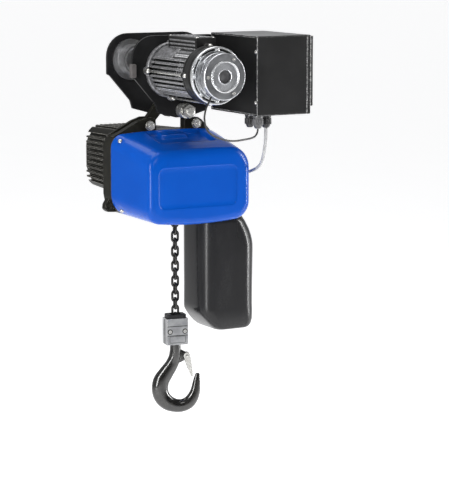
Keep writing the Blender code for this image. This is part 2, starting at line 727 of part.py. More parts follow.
def hoist_motor():
    centre = (MOTOR_X, MOTOR_Z)
    outline = ribbed(*centre, 72, 34, 8, 11.4, 4, 11)
    housing = plate("motor_housing", "black_casting", [outline, circle(*centre, 52, 28)], "Y", MOTOR_NEAR, MOTOR_FAR)
    for vertex in housing.data.vertices:
        scale = 1 - MOTOR_TAPER * (vertex.co.y / MM - MOTOR_NEAR) / (MOTOR_FAR - MOTOR_NEAR)
        vertex.co.x = MOTOR_X * MM + (vertex.co.x - MOTOR_X * MM) * scale
        vertex.co.z = MOTOR_Z * MM + (vertex.co.z - MOTOR_Z * MM) * scale
    sections = []
    for place, size, corner in ((232.3, 53, 34), (256, 53, 34), (264, 49, 31), (268, 41, 26)):
        square = rounded(MOTOR_X - size, MOTOR_X + size, MOTOR_Z - size, MOTOR_Z + size, corner, 5)
        sections.append((place, square))
    end = loft("motor_end_cover", "black_casting", sections, "Y")
    cut(end, rod("end_room", "steel", "Y", centre, 225, 256, 40))
    ring("motor_windings", "copper", "Y", centre, 55, 205, 34.5, 45.5)

    shaft = [(-66, 0), (-66, 8), (-58, 8), (-58, 34), (-50, 34), (-50, 7), (70, 7), (70, 33.5)]
    shaft += [(190, 33.5), (190, 8), (250, 8), (250, 0)]
    rotor = turned("motor_rotor", "steel", shaft, "Y", centre)
    join(rotor, plate("hoist_pinion", "steel", [gear(*centre, STAGE_MODULE, HOIST_PINION_TEETH)], "Y", -32, -24))
    magnet = [(-72, 0), (-72, 14), (-62, 14), (-62, 42), (-95, 42), (-97, 40), (-97, 0)]
    turned("hoist_brake", "aluminium", magnet, "Y", centre)


def chain_wheel():
    centre = (WHEEL_SHAFT_X, MOTOR_Z)
    profile = [(-40, 0), (-40, 8), (-13, 8), (-13, 31), (-9.8, 31), (-9.8, 15), (9.8, 15), (9.8, 31), (13, 31)]
    profile += [(13, 8), (18.5, 8), (18.5, 0)]
    wheel = turned("chain_wheel", "steel", profile, "Y", centre)
    gear_phase = HOIST_WHEEL_TEETH / 2 + 0.5
    teeth = [gear(*centre, STAGE_MODULE, HOIST_WHEEL_TEETH, gear_phase)]
    join(wheel, plate("hoist_gear", "steel", teeth, "Y", -32, -24))
    lobes = []
    for lobe in range(6):
        turn = lobe * 60
        lobes += arc(*centre, 19.5, turn - 12, turn + 12, 1) + arc(*centre, 16.5, turn + 24, turn + 36, 1)
    join(wheel, plate("pockets", "steel", [lobes], "Y", -10.5, 10.5))


# Chain, container, block and hook


def link_path(x, y, z, yaw):
    """The centreline of one link: two straight sides and two round ends, its plane turned by yaw."""
    radius = (LINK_WIDTH - WIRE) / 2
    flat_end = radius * math.cos(math.radians(30))
    straight = PITCH / 2 + WIRE / 2 - LINK_BITE - flat_end
    outline = arc(0, straight, radius, 0, 180, 3) + arc(0, -straight, radius, 180, 360, 3)
    turn = Matrix.Rotation(yaw, 3, "Z")
    return [turn @ Vector((u, 0, v)) + Vector((x, y, z)) for u, v in outline]


def chain(name, finish, x, top, bottom, yaw):
    """Links hooked through each other; every second one is turned a quarter turn."""
    count = round((top - bottom) / PITCH) + 1
    paths = [link_path(x, 0, top - i * PITCH, yaw + (i % 2) * math.pi / 2) for i in range(count)]
    strand = swept(name, finish, paths[::2], WIRE / 2, closed=True, sides=1)
    join(strand, swept(f"{name}_turned_links", finish, paths[1::2], WIRE / 2, closed=True, sides=1))
    return strand


def container():
    sections = []
    for z, left, right, front, back, radius in (
        (-507, 80, 151, -57, 34, 16),
        (-502, 73, 158, -61, 38, 18),
        (-490, 62, 162, -64, 41, 20),
        (-467, 45, 165, -65, 42, 21),
        (-336, 44, 168, -66, 43, 22),
        (-310, 44, 160, -66, 43, 22),
        (-279.5, 44, 141, -66, 43, 22),
    ):
        sections.append((z, rounded(left, right, front, back, radius, 4)))
    shell = loft("chain_container", "black_plastic", sections[::-1], "Z", 2.5, open_end=True)
    cut(shell, rod("hanger_hole", "steel", "X", (-2, -292), 130, 170, 5.2, 12))
    hanger = block("container_hanger", "black_steel", (134.3, -14, -302), (137.3, 10, -215), 0)
    join(hanger, rod("hanger_bolt", "zinc", "X", (-2, -292), 136, 160, 4, 12))
    strand = chain("slack_chain", "steel", SLACK_X, -205, -415, 0)
    heap = [(-386, 0), (-386, 6), (-398, 16), (-440, 30), (-478, 30), (-478, 0)]
    join(strand, turned("heap", "steel", heap, "Z", (SLACK_X + 22, -8), 12))


def hook_block():
    matrix = yaw_matrix(BLOCK_YAW)
    across = yaw_matrix(BLOCK_YAW + math.pi / 2)  # the frame of the last link, a quarter turn on
    for side, place in ((-1, "front"), (1, "rear")):
        low, high = sorted((side * GAP / 2, side * 15))
        corners = (-BLOCK_HALF, low, BLOCK_LOW), (BLOCK_HALF, high, BLOCK_TOP)
        half = block(f"hook_block_{place}", "aluminium", *corners, matrix=matrix)
        room = [
            block(f"chain_room_{place}", "steel", (-10.5, -10.5, -500), (10.5, 10.5, -470), matrix=matrix),
            rod(f"nut_room_{place}", "steel", "Z", (CHAIN_X, 0), -528, -499, 12, 16),
            rod(f"neck_room_{place}", "steel", "Z", (CHAIN_X, 0), -545, -520, 8.2, 16),
        ]
        cut(half, *room)
        cut(half, plate(f"pin_room_{place}", "steel", [circle(0, PIN_Z, 3.4, 10)], "Y", -15, 15, matrix=across))
    insert = plate(
        "chain_insert",
        "black_plastic",
        [rounded(-19.5, 19.5, -13.5, 13.5, 4, 2), rounded(-10.5, 10.5, -10.5, 10.5, 2, 1)],
        "Z",
        BLOCK_TOP + GAP,
        -476,
        matrix=matrix,
    )
    soften(insert, 0.8, angle=60)
    plate("chain_pin", "steel", [circle(0, PIN_Z, 3, 10)], "Y", -14, 14, matrix=across)


HOOK_LINE = [
    (0, -503, 7.3),
    (0, -537.9, 7.3),
    (0, -538.9, 10.8),
    (0, -552, 11.6),
    (-2, -566, 12.6),
    (-8.5, -581, 13.7),
    (-19.5, -597, 15.5),
    (-29, -612.5, 17),
    (-31.5, -630, 17.2),
    (-27, -646, 16.8),
    (-15.5, -658, 16),
    (-1, -664, 15),
    (13.5, -664.5, 14.4),
    (26.5, -659, 13.4),
    (35.5, -648, 12),
    (40.5, -635, 10.2),
    (42.5, -621.5, 8.5),
    (44, -610, 6.8),
    (45.5, -600.5, 4.6),
]
HOOK_FLAT = 0.7  # depth of the forged bow compared with its width


def hook():
    path = [(x, 0, z) for x, z, _ in HOOK_LINE]
    radii = [r for _, _, r in HOOK_LINE]
    bow = swept("hook", "black_steel", [path], 10, radii, sides=4)
    for vertex in bow.data.vertices:
        share = min(1.0, max(0.0, (-545 - vertex.co.z / MM) / 30))
        vertex.co.y *= 1 - (1 - HOOK_FLAT) * share
    bow.data.transform(yaw_matrix())
    ear = arc(LATCH_X, LATCH_Z, 6, 80, -80, 5) + [(4, -573), (4, -549), (12, -549)]
    ear_hole = circle(LATCH_X, LATCH_Z, 2.9, 10)
    join(bow, plate("latch_ear", "black_steel", [ear, ear_hole], "Y", -3.8, 3.8, matrix=yaw_matrix()))
    join(bow, rod("hook_nut", "steel", "Z", (CHAIN_X, 0), -519, -502, 11.2, 12))
    plate("latch_pin", "zinc", [circle(LATCH_X, LATCH_Z, 2.4, 10)], "Y", -7.5, 7.5, matrix=yaw_matrix())


def latch():
    outline = arc(LATCH_X, LATCH_Z, 7, 30, 210, 6)
    outline += [(24.5, -588), (31, -604.5), (35, -604.5), (34, -592)]
    pivot = yawed(LATCH_X, 0, LATCH_Z)
    hole = circle(LATCH_X, LATCH_Z, 2.9, 10)
    body = plate("latch", "zinc", [outline, hole], "Y", -6.2, 6.2, pivot, matrix=yaw_matrix())
    slot = rectangle(10, 30.5, -589, -550)
    cut(body, plate("latch_slot", "zinc", [slot], "Y", -4.3, 4.3, matrix=yaw_matrix()))


def hoist_cable_gland():
    """An elbow: it screws into the hoist's side and faces the front, where the cable comes from."""
    flange = [(BODY_RIGHT + GAP, 0), (BODY_RIGHT + GAP, 10), (139, 10), (139, 7), (152.5, 7), (152.5, 0)]
    elbow = turned("hoist_cable_gland", "black_plastic", flange, "X", (3, -197), 12)
    barrel = [(4, 0), (4, 6.8), (-12, 6.8), (-12, 8), (-19, 8), (-24, 5), (-24, 0)]
    join(elbow, turned("elbow_barrel", "black_plastic", barrel, "Y", (145.5, -197), 12))


def build():
    side_plates()
    load_bar()
    wheels()
    buffers()
    travel_gears()
    travel_motor()
    control_box()
    cables()
    suspension()
    casting()
    cover()
    hoist_motor()
    chain_wheel()
    chain("load_chain", "black_steel", CHAIN_X, -200, -485, BLOCK_YAW)
    container()
    hook_block()
    hook()
    latch()
    hoist_cable_gland()


build()
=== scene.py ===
"""Looks of an electric chain hoist on a powered beam trolley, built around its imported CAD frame.

Shapes are given in millimetres, and each helper turns them into metres as it makes its mesh. The points
of the cables, the camera and the studio are in metres.
"""

import random
from math import copysign, cos, dist, hypot, pi, radians, sin, sqrt

import bmesh
import bpy
from mathutils import Matrix, Vector


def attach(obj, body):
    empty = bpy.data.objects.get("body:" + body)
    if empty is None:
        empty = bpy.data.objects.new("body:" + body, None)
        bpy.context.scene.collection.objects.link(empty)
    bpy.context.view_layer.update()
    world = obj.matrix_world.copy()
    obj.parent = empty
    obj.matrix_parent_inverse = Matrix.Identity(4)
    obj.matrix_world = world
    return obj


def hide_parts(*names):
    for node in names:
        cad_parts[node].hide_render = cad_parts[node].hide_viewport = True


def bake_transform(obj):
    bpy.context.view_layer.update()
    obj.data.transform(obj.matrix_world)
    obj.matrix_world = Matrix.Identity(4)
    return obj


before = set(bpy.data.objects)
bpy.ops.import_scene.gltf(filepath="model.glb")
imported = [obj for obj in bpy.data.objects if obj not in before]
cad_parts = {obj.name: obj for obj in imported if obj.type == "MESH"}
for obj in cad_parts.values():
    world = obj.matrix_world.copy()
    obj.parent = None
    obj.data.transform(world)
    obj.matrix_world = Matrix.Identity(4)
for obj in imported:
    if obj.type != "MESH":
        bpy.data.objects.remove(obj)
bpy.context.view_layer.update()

MM = 0.001


def moved(x, y, z):
    """A shift given in millimetres."""
    return Matrix.Translation((x * MM, y * MM, z * MM))


def shown(name, data):
    """A new object in the scene."""
    obj = bpy.data.objects.new(name, data)
    bpy.context.scene.collection.objects.link(obj)
    return obj


# Sizes

TRAVEL = (-25.0, 14.8)  # X and Z of the travel motor's axis
MOTOR = (-4.0, -178.0)  # X and Z of the hoist motor's axis
MOTOR_NEAR, MOTOR_FAR = 19.3, 232.0
MOTOR_TAPER = 0.11  # how much narrower its finned housing is at the far end
WHEEL_X, AXLE_Z = 57.5, 30.0
WHEEL_TEETH = 32
LOAD_BAR_Z = -64.0
PLATE_FACE = 57.3  # just outside a side plate
ENDS = ((-1, "front"), (1, "rear"))
LUG_X, LUG_Z = 51.0, -95.0
CHAIN_X, SLACK_X = 14.0, 72.5
PITCH = 15.0
HOOK_YAW = radians(-18)
BLOCK_YAW = radians(-10)
BLOCK_TURN = moved(CHAIN_X, 0, 0) @ Matrix.Rotation(BLOCK_YAW, 4, "Z")
HOOK_TURN = moved(CHAIN_X, 0, 0) @ Matrix.Rotation(HOOK_YAW, 4, "Z")
BODY_LEFT, BODY_RIGHT = -136.0, 134.0
BODY_LOW, BODY_TOP = -264.0, -110.0
BODY_RADII = (38.0, 30.0, 72.0, 24.0)  # low left, low right, high right, high left
COVER_RADII = (28.0, 29.0, 38.0, 34.0)
COVER_REAR, COVER_SLOPE = -21.2, 98.8  # where the cover's sides start to slope, and for how far

BRAKE_CABLE = [
    (-0.0455, -0.255, -0.0246), (-0.05, -0.255, -0.033), (-0.056, -0.255, -0.045),
    (-0.059, -0.255, -0.063), (-0.051, -0.253, -0.085), (-0.026, -0.248, -0.1),
    (0.009, -0.24, -0.108), (0.044, -0.23, -0.1075), (0.059, -0.226, -0.106),
    (0.067, -0.2238, -0.1035), (0.0722, -0.2225, -0.098), (0.074, -0.222, -0.0915),
    (0.074, -0.222, -0.0901),
]
HOIST_CABLE = [
    (0.097, -0.213, -0.0896), (0.097, -0.213, -0.096), (0.097, -0.212, -0.113),
    (0.098, -0.2065, -0.131), (0.1025, -0.194, -0.1465), (0.1095, -0.177, -0.158),
    (0.1183, -0.155, -0.1675), (0.128, -0.128, -0.1765), (0.1365, -0.098, -0.1845),
    (0.1425, -0.07, -0.1912), (0.1452, -0.046, -0.1958), (0.1455, -0.032, -0.197),
    (0.1455, -0.0243, -0.197),
]


# Camera

CAMERA_PLACE = (-1.850, -3.509, 0.288)
CAMERA_AIM = (0.101, -0.046, -0.348)
BACKDROP = (0.485, 0.86, -0.158)  # the way the camera looks


def camera():
    data = bpy.data.cameras.new("camera")
    data.lens = 145.8
    data.sensor_width = 36
    data.clip_end = 200
    obj = shown("camera", data)
    obj.location = CAMERA_PLACE
    toward = Vector(CAMERA_AIM) - obj.location
    obj.rotation_euler = toward.to_track_quat("-Z", "Y").to_euler()
    bpy.context.scene.camera = obj


camera()


# Materials


class Nodes:
    """Short ways to add nodes to a material or a world."""

    def __init__(self, owner, shader="Principled BSDF", place="Object"):
        owner.use_nodes = True
        self.tree = owner.node_tree
        self.shader = self.tree.nodes[shader]
        self.place = self.add("ShaderNodeTexCoord").outputs[place]

    def add(self, kind, inputs=(), **settings):
        node = self.tree.nodes.new(kind)
        for key, value in settings.items():
            setattr(node, key, value)
        self.give(node, dict(inputs))
        return node

    def give(self, node, inputs):
        """Links or sets the inputs of a node."""
        for key, value in inputs.items():
            if isinstance(value, bpy.types.NodeSocket):
                self.tree.links.new(value, node.inputs[key])
            else:
                node.inputs[key].default_value = value

    def noise(self, scale, detail, stretch=(1, 1, 1)):
        place = self.add("ShaderNodeMapping", {"Vector": self.place, "Scale": stretch}).outputs[0]
        wanted = {"Vector": place, "Scale": scale, "Detail": detail, "Roughness": 0.55}
        return self.add("ShaderNodeTexNoise", wanted).outputs["Fac"]

    def span(self, value, low, high, start=0.35, end=0.65):
        wanted = {"Value": value, "From Min": start, "From Max": end, "To Min": low, "To Max": high}
        return self.add("ShaderNodeMapRange", wanted).outputs["Result"]

    def mix(self, share, a, b):
        a, b = (c if isinstance(c, bpy.types.NodeSocket) else (*c, 1) for c in (a, b))
        return self.add("ShaderNodeMix", {0: share, 6: a, 7: b}, data_type="RGBA").outputs[2]

    def math(self, operation, a, b=0.0):
        return self.add("ShaderNodeMath", {0: a, 1: b}, operation=operation).outputs[0]

    def vector(self, operation, a, b=(0, 0, 0), output=0):
        return self.add("ShaderNodeVectorMath", {0: a, 1: b}, operation=operation).outputs[output]

    def dot(self, a, b):
        return self.vector("DOT_PRODUCT", a, b, "Value")

    def radius(self, x, z):
        """Distance from an axis along Y."""
        parts = self.add("ShaderNodeSeparateXYZ", {"Vector": self.place}).outputs
        dx = self.math("SUBTRACT", parts["X"], x * MM)
        dz = self.math("SUBTRACT", parts["Z"], z * MM)
        squares = self.math("ADD", self.math("MULTIPLY", dx, dx), self.math("MULTIPLY", dz, dz))
        return self.math("SQRT", squares)

    def rings(self, x, z, pitch):
        """Fine turning marks round an axis along Y."""
        parts = self.add("ShaderNodeSeparateXYZ", {"Vector": self.place}).outputs
        place = self.math("ADD", self.radius(x, z), parts["Y"])
        wanted = {"W": place, "Scale": 1 / (pitch * MM), "Detail": 3.0}
        return self.add("ShaderNodeTexNoise", wanted, noise_dimensions="1D").outputs["Fac"]

    def edge_wear_and_highlight_mask(self, width):
        """Near 1 along sharp edges, broken up by noise: the mask for edge wear and for painted edge
        highlights.
        """
        soft = self.add("ShaderNodeBevel", {"Radius": width * MM}).outputs[0]
        hard = self.add("ShaderNodeNewGeometry").outputs["Normal"]
        edge = self.span(self.dot(soft, hard), 1.0, 0.0, 0.86, 0.995)
        return self.math("MULTIPLY", edge, self.span(self.noise(260, 5), 0.15, 1.0, 0.4, 0.62))


LOOKS = {}


def grey(level):
    return (level, level, level)


def look(name, slot, colour, tint, rough, metal=0.0, patches=120, grain=1500, bump=0.2, depth=0.1,
         stretch=(1, 1, 1), edge_wear_and_highlight=None, rings=None, groove_shade=None, coat=0.0, sheen=0.0, turned=0.0,
         specular=0.5):
    """A finish: patches of tint, roughness that wanders between two values, and a fine grained surface.
    Where asked, it paints shade into the grooves round an axis, and lightens sharp edges as edge wear and as
    painted highlights.
    """
    material = bpy.data.materials.new(name)
    n = Nodes(material)
    broad = n.noise(patches, 5, stretch)
    fine = n.rings(*rings) if rings else n.noise(grain, 3, stretch)
    base = n.mix(n.span(broad, 0.0, 1.0), colour, tint)
    mixed = n.math("ADD", n.math("MULTIPLY", broad, 0.6), n.math("MULTIPLY", fine, 0.4))
    # Painted shade: the colour darkens inside a radius round an axis, down in the grooves between fins.
    if groove_shade:
        x, z, deep, shallow, shade_colour = groove_shade
        base = n.mix(n.span(n.radius(x, z), 0.0, 1.0, deep * MM, shallow * MM), shade_colour, base)
    # Sharp edges lightened: partly edge wear, partly painted highlights.
    if edge_wear_and_highlight:
        width, edge_wear_and_highlight_colour = edge_wear_and_highlight
        base = n.mix(n.edge_wear_and_highlight_mask(width), base, edge_wear_and_highlight_colour)
    bumped = n.add("ShaderNodeBump", {"Height": fine, "Strength": bump, "Distance": depth * MM})
    given = {"Base Color": base, "Roughness": n.span(mixed, *rough), "Normal": bumped.outputs[0]}
    given |= {"Metallic": metal, "Coat Weight": coat, "Coat Roughness": 0.06, "Sheen Weight": sheen}
    given |= {"Specular IOR Level": specular, "Anisotropic": turned}
    if turned:
        given["Tangent"] = n.add("ShaderNodeTangent", direction_type="RADIAL", axis="Y").outputs[0]
    n.give(n.shader, given)
    LOOKS[name] = (material, slot)


def looks():
    look("paint", "black_steel", (0.009, 0.009, 0.0095), (0.014, 0.014, 0.0145), (0.3, 0.42), patches=25,
         grain=1400, bump=0.12, edge_wear_and_highlight=(0.6, grey(0.12)), specular=0.08)
    # Control box paint: its broad, bright edge lightening is a painted highlight along the edge lines.
    look("box_paint", "black_steel", (0.0125, 0.0125, 0.0127), (0.0165, 0.0165, 0.0167), (0.28, 0.36),
         patches=14, grain=1600, bump=0.08, depth=0.06, edge_wear_and_highlight=(2.4, grey(0.8)), specular=0.18)
    look("cast_black", "black_casting", (0.008, 0.0078, 0.0065), (0.016, 0.0155, 0.012), (0.34, 0.5),
         patches=45, grain=1100, bump=0.3, depth=0.2, edge_wear_and_highlight=(0.9, (0.22, 0.21, 0.19)), specular=0.06)
    # Hoist motor fins: their lightened edges are painted highlights along the fin tops, with some edge wear.
    look("fin_black", "black_casting", (0.005, 0.0049, 0.004), (0.01, 0.0095, 0.0075), (0.34, 0.5),
         patches=45, grain=1100, bump=0.3, depth=0.2, edge_wear_and_highlight=(2.2, (0.34, 0.33, 0.3)), specular=0.06)
    # Travel motor casting: painted highlights brighten the fin edges, and painted shade darkens the grooves
    # between the fins.
    look("cast_grey", "grey_casting", (0.07, 0.07, 0.072), (0.24, 0.24, 0.25), (0.28, 0.46), 0.4,
         patches=190, grain=1300, bump=0.5, depth=0.3, edge_wear_and_highlight=(1.4, (0.85, 0.85, 0.86)),
         groove_shade=(*TRAVEL, 43, 46.5, grey(0.006)))
    look("shield_black", "black_casting", grey(0.009), grey(0.017), (0.28, 0.42), patches=50, grain=1300,
         depth=0.12, edge_wear_and_highlight=(0.6, grey(0.2)), specular=0.16)
    look("blue_paint", "blue_cover", (0.001, 0.059, 0.355), (0.0012, 0.065, 0.38), (0.16, 0.24), patches=9,
         grain=420, bump=0.03, coat=0.05, specular=0.14)
    look("zinc", "zinc", (0.66, 0.66, 0.64), (0.5, 0.49, 0.46), (0.18, 0.34), 0.9, patches=220, bump=0.12,
         depth=0.08, edge_wear_and_highlight=(0.3, (0.9, 0.9, 0.89)))
    look("turned_zinc", "zinc", (0.72, 0.72, 0.7), (0.6, 0.59, 0.56), (0.22, 0.36), 0.85, patches=150,
         rings=(0, LOAD_BAR_Z, 0.25), bump=0.15, depth=0.05)
    look("steel", "steel", (0.42, 0.42, 0.43), grey(0.3), (0.25, 0.42), 1.0, patches=90, grain=1200,
         bump=0.15, depth=0.08, edge_wear_and_highlight=(0.4, grey(0.65)))
    look("brake_face", "bare_aluminium", (0.56, 0.57, 0.59), (0.45, 0.46, 0.48), (0.22, 0.34), 1.0,
         patches=70, rings=(*TRAVEL, 0.5), bump=0.08, depth=0.03, turned=0.6)
    look("brake_dark", "bare_aluminium", (0.2, 0.205, 0.215), (0.27, 0.275, 0.285), (0.26, 0.4), 1.0,
         patches=70, rings=(*TRAVEL, 0.35), depth=0.04, turned=0.6)
    look("brake_bright", "bare_aluminium", (0.85, 0.86, 0.87), (0.7, 0.71, 0.72), (0.2, 0.32), 1.0,
         patches=70, rings=(*TRAVEL, 0.35), bump=0.12, depth=0.04)
    # A near-black copy of the aluminium: painted shade for the magnet's bore.
    look("brake_bore_shade", "bare_aluminium", (0.06, 0.06, 0.062), (0.09, 0.09, 0.093), (0.45, 0.6), 0.3,
         patches=90, rings=(*TRAVEL, 0.5), bump=0.15, depth=0.05)
    # Hook block: its lightened edges are painted highlights.
    look("block_metal", "bare_aluminium", (0.4, 0.405, 0.415), (0.27, 0.275, 0.285), (0.3, 0.42), 0.85,
         patches=55, bump=0.35, edge_wear_and_highlight=(1.6, (0.85, 0.85, 0.86)))
    look("satin_plastic", "black_plastic", (0.008, 0.008, 0.0088), (0.0125, 0.0125, 0.0135), (0.2, 0.3),
         patches=14, bump=0.06, depth=0.08, stretch=(1, 1, 0.35), specular=0.3)
    look("gland_plastic", "black_plastic", (0.015, 0.015, 0.016), (0.03, 0.03, 0.032), (0.3, 0.45),
         grain=1600, edge_wear_and_highlight=(0.5, grey(0.12)), specular=0.4)
    look("gland_grey", "black_plastic", (0.06, 0.06, 0.062), (0.1, 0.1, 0.103), (0.28, 0.42), grain=1600,
         edge_wear_and_highlight=(0.5, grey(0.3)))
    look("rubber", "rubber", (0.05, 0.045, 0.045), (0.08, 0.073, 0.072), (0.65, 0.85), patches=80,
         grain=900, bump=0.5, depth=0.3, edge_wear_and_highlight=(0.8, (0.13, 0.12, 0.12)), sheen=0.05)
    # Hook: its lightened edges are partly painted highlights, partly edge wear.
    look("forged", "forged_black", (0.008, 0.008, 0.0076), (0.022, 0.021, 0.019), (0.12, 0.28), 0.5,
         patches=150, grain=520, bump=0.5, depth=0.35, edge_wear_and_highlight=(1.0, (0.2, 0.2, 0.19)), coat=1.0)
    look("chain_black", "black_chain", (0.02, 0.02, 0.0195), (0.055, 0.053, 0.05), (0.2, 0.36), 0.7,
         patches=160, grain=1200, coat=0.1)
    look("black_sheath", "black_cable", grey(0.01), grey(0.017), (0.32, 0.44), depth=0.08, specular=0.4)
    look("grey_sheath", "grey_cable", (0.3, 0.3, 0.305), (0.38, 0.38, 0.385), (0.35, 0.48), depth=0.08)
    look("winding", "copper", (0.4, 0.14, 0.05), (0.55, 0.22, 0.08), (0.3, 0.45), 0.9, patches=90,
         grain=900, bump=0.5, depth=0.3, stretch=(1, 0.1, 1))
    look("moulded", "black_plastic", (0.014, 0.014, 0.015), (0.024, 0.024, 0.025), (0.4, 0.55), patches=90,
         grain=1200, bump=0.25, specular=0.16)


looks()


# Shapes


def arc(x, y, radius, start, end, steps):
    angles = [radians(start + (end - start) * i / steps) for i in range(steps + 1)]
    return [(x + radius * cos(a), y + radius * sin(a)) for a in angles]


def circle(x, y, radius, steps=48):
    return arc(x, y, radius, 0, 360, steps)[:-1]


def rounded(left, right, low, high, radius, steps=6):
    return (
        arc(left + radius, low + radius, radius, 180, 270, steps)
        + arc(right - radius, low + radius, radius, 270, 360, steps)
        + arc(right - radius, high - radius, radius, 0, 90, steps)
        + arc(left + radius, high - radius, radius, 90, 180, steps)
    )


# One gear tooth: rise over the pitch circle in modules, and share of the pitch from its middle
TOOTH = [(-1.15, -0.29), (0.3, -0.19), (0.85, -0.12), (0.85, 0.12), (0.3, 0.19), (-1.15, 0.29)]


def gear(x, y, module, teeth):
    step = 2 * pi / teeth
    points = []
    for tooth in range(teeth):
        for rise, share in TOOTH:
            r = module * (teeth / 2 + rise)
            a = (tooth + share) * step
            points.append((x + r * cos(a), y + r * sin(a)))
    return points


def from_curve(curve, matrix=None):
    obj = shown("curve", curve)
    bpy.context.view_layer.update()
    mesh = bpy.data.meshes.new_from_object(obj.evaluated_get(bpy.context.evaluated_depsgraph_get()))
    bpy.data.objects.remove(obj)
    bpy.data.curves.remove(curve)
    shape = bmesh.new()
    shape.from_mesh(mesh)
    bpy.data.meshes.remove(mesh)
    bmesh.ops.remove_doubles(shape, verts=shape.verts, dist=1e-6)
    if matrix:
        shape.transform(matrix)
    return shape


def bevelled(shape, width, segments, angle=28):
    """Rounds every edge sharper than the angle."""
    bmesh.ops.remove_doubles(shape, verts=shape.verts, dist=2e-6)
    bmesh.ops.dissolve_limit(shape, angle_limit=0.01, verts=shape.verts, edges=shape.edges)
    bmesh.ops.recalc_face_normals(shape, faces=shape.faces)
    limit = radians(angle)
    sharp = [e for e in shape.edges if len(e.link_faces) == 2 and e.calc_face_angle(0) > limit]
    if width and sharp:
        wanted = {"segments": segments, "profile": 0.5, "affect": "EDGES", "clamp_overlap": True}
        bmesh.ops.bevel(shape, geom=sharp, offset=width * MM, **wanted)
    return shape


AXES = {
    "X": Matrix(((0, 0, 1, 0), (1, 0, 0, 0), (0, 1, 0, 0), (0, 0, 0, 1))),
    "Y": Matrix.Rotation(pi / 2, 4, "X"),
    "Z": Matrix.Identity(4),
}


def line_in(curve, count, closed):
    """A new line of this many points in a curve."""
    spline = curve.splines.new("POLY")
    spline.points.add(count - 1)
    spline.use_cyclic_u = closed
    return spline


def prism(outlines, axis, low, high, bevel=0.5, segments=2, matrix=None):
    """A flat outline with its holes, thick from low to high along an axis."""
    curve = bpy.data.curves.new("outline", "CURVE")
    curve.dimensions = "2D"
    curve.fill_mode = "BOTH"
    curve.extrude = (high - low) / 2 * MM
    for outline in outlines:
        spline = line_in(curve, len(outline), True)
        for point, (u, v) in zip(spline.points, outline):
            point.co = (u * MM, v * MM, 0, 1)
    along = {"X": (1, 0, 0), "Y": (0, 1, 0), "Z": (0, 0, 1)}[axis]
    middle = Matrix.Translation(Vector(along) * (low + high) / 2 * MM)
    placed = (matrix or Matrix.Identity(4)) @ middle @ AXES[axis]
    return bevelled(from_curve(curve, placed), bevel, segments)


def block(low, high, bevel=0.5, segments=2, matrix=None):
    shape = bmesh.new()
    bmesh.ops.create_cube(shape, size=1)
    for vertex in shape.verts:
        for i in range(3):
            vertex.co[i] = ((low[i] + high[i]) / 2 + (high[i] - low[i]) * vertex.co[i]) * MM
    bevelled(shape, bevel, segments)
    if matrix:
        shape.transform(matrix)
    return shape


def turned(profile, axis="Y", centre=(0, 0), steps=72, soften=0.5, closed=False):
    """A turned part with softened corners. The profile holds (place along the axis, radius)."""
    points = []
    count = len(profile)
    for i, (h, r) in enumerate(profile):
        if not closed and i in (0, count - 1) or r == 0:
            points.append((h, r))
            continue
        here = Vector((h, r))
        before, after = Vector(profile[i - 1]), Vector(profile[(i + 1) % count])
        back, ahead = before - here, after - here
        size = min(soften, back.length / 2.2, ahead.length / 2.2)
        if size < 0.02 or abs(back.normalized().dot(ahead.normalized())) > 0.995:
            points.append((h, r))
            continue
        a, b = here + back.normalized() * size, here + ahead.normalized() * size
        points += [tuple(a), tuple((a + 2 * here + b) / 4), tuple(b)]
    shape = bmesh.new()
    rings = []
    for h, r in points:
        if r < 1e-6:
            rings.append([shape.verts.new((0, 0, h * MM))])
            continue
        rings.append([shape.verts.new((*(Vector(p) * MM), h * MM)) for p in circle(0, 0, r, steps)])
    pairs = list(zip(rings, rings[1:])) + ([(rings[-1], rings[0])] if closed else [])
    for lower, upper in pairs:
        for i in range(steps):
            j = (i + 1) % steps
            corners = [lower[i % len(lower)], lower[j % len(lower)]]
            corners += [upper[j % len(upper)], upper[i % len(upper)]]
            unique = list(dict.fromkeys(corners))
            if len(unique) > 2:
                shape.faces.new(unique)
    u, v = centre
    if axis == "Y":
        shape.transform(moved(u, 0, v) @ Matrix.Rotation(-pi / 2, 4, "X"))
    elif axis == "X":
        shape.transform(moved(0, u, v) @ Matrix.Rotation(pi / 2, 4, "Y"))
    else:
        shape.transform(moved(u, v, 0))
    bmesh.ops.recalc_face_normals(shape, faces=shape.faces)
    return shape


def rod(low, high, radius, axis, centre, steps, soften, bore=0):
    """A round bar, or a ring where there is a bore."""
    corners = [(low, bore), (low, radius), (high, radius), (high, bore)]
    return turned(corners, axis, centre, steps, soften, bore > 0)


def length_of(path):
    return sum((b.resized(3) - a.resized(3)).length for a, b in zip(path, path[1:]))


def smooth_path(points, spacing):
    """Even points on a smooth curve through the given ones, which may carry a radius."""
    ends = [Vector(p) for p in points]
    ends = [2 * ends[0] - ends[1], *ends, 2 * ends[-1] - ends[-2]]
    fine = []
    for a, b, c, d in zip(ends, ends[1:], ends[2:], ends[3:]):
        for i in range(24):
            t = i / 24
            bend, twist = 2 * a - 5 * b + 4 * c - d, 3 * b - 3 * c + d - a
            fine.append((2 * b + (c - a) * t + bend * t**2 + twist * t**3) / 2)
    fine.append(ends[-2])
    length = length_of(fine)
    count = max(2, round(length / spacing))
    path, walked, wanted = [fine[0]], 0.0, length / count
    for p, q in zip(fine, fine[1:]):
        step = (q.resized(3) - p.resized(3)).length
        while walked + step >= wanted - 1e-9 and len(path) < count:
            path.append(p.lerp(q, (wanted - walked) / step))
            wanted += length / count
        walked += step
    return [*path, fine[-1]]


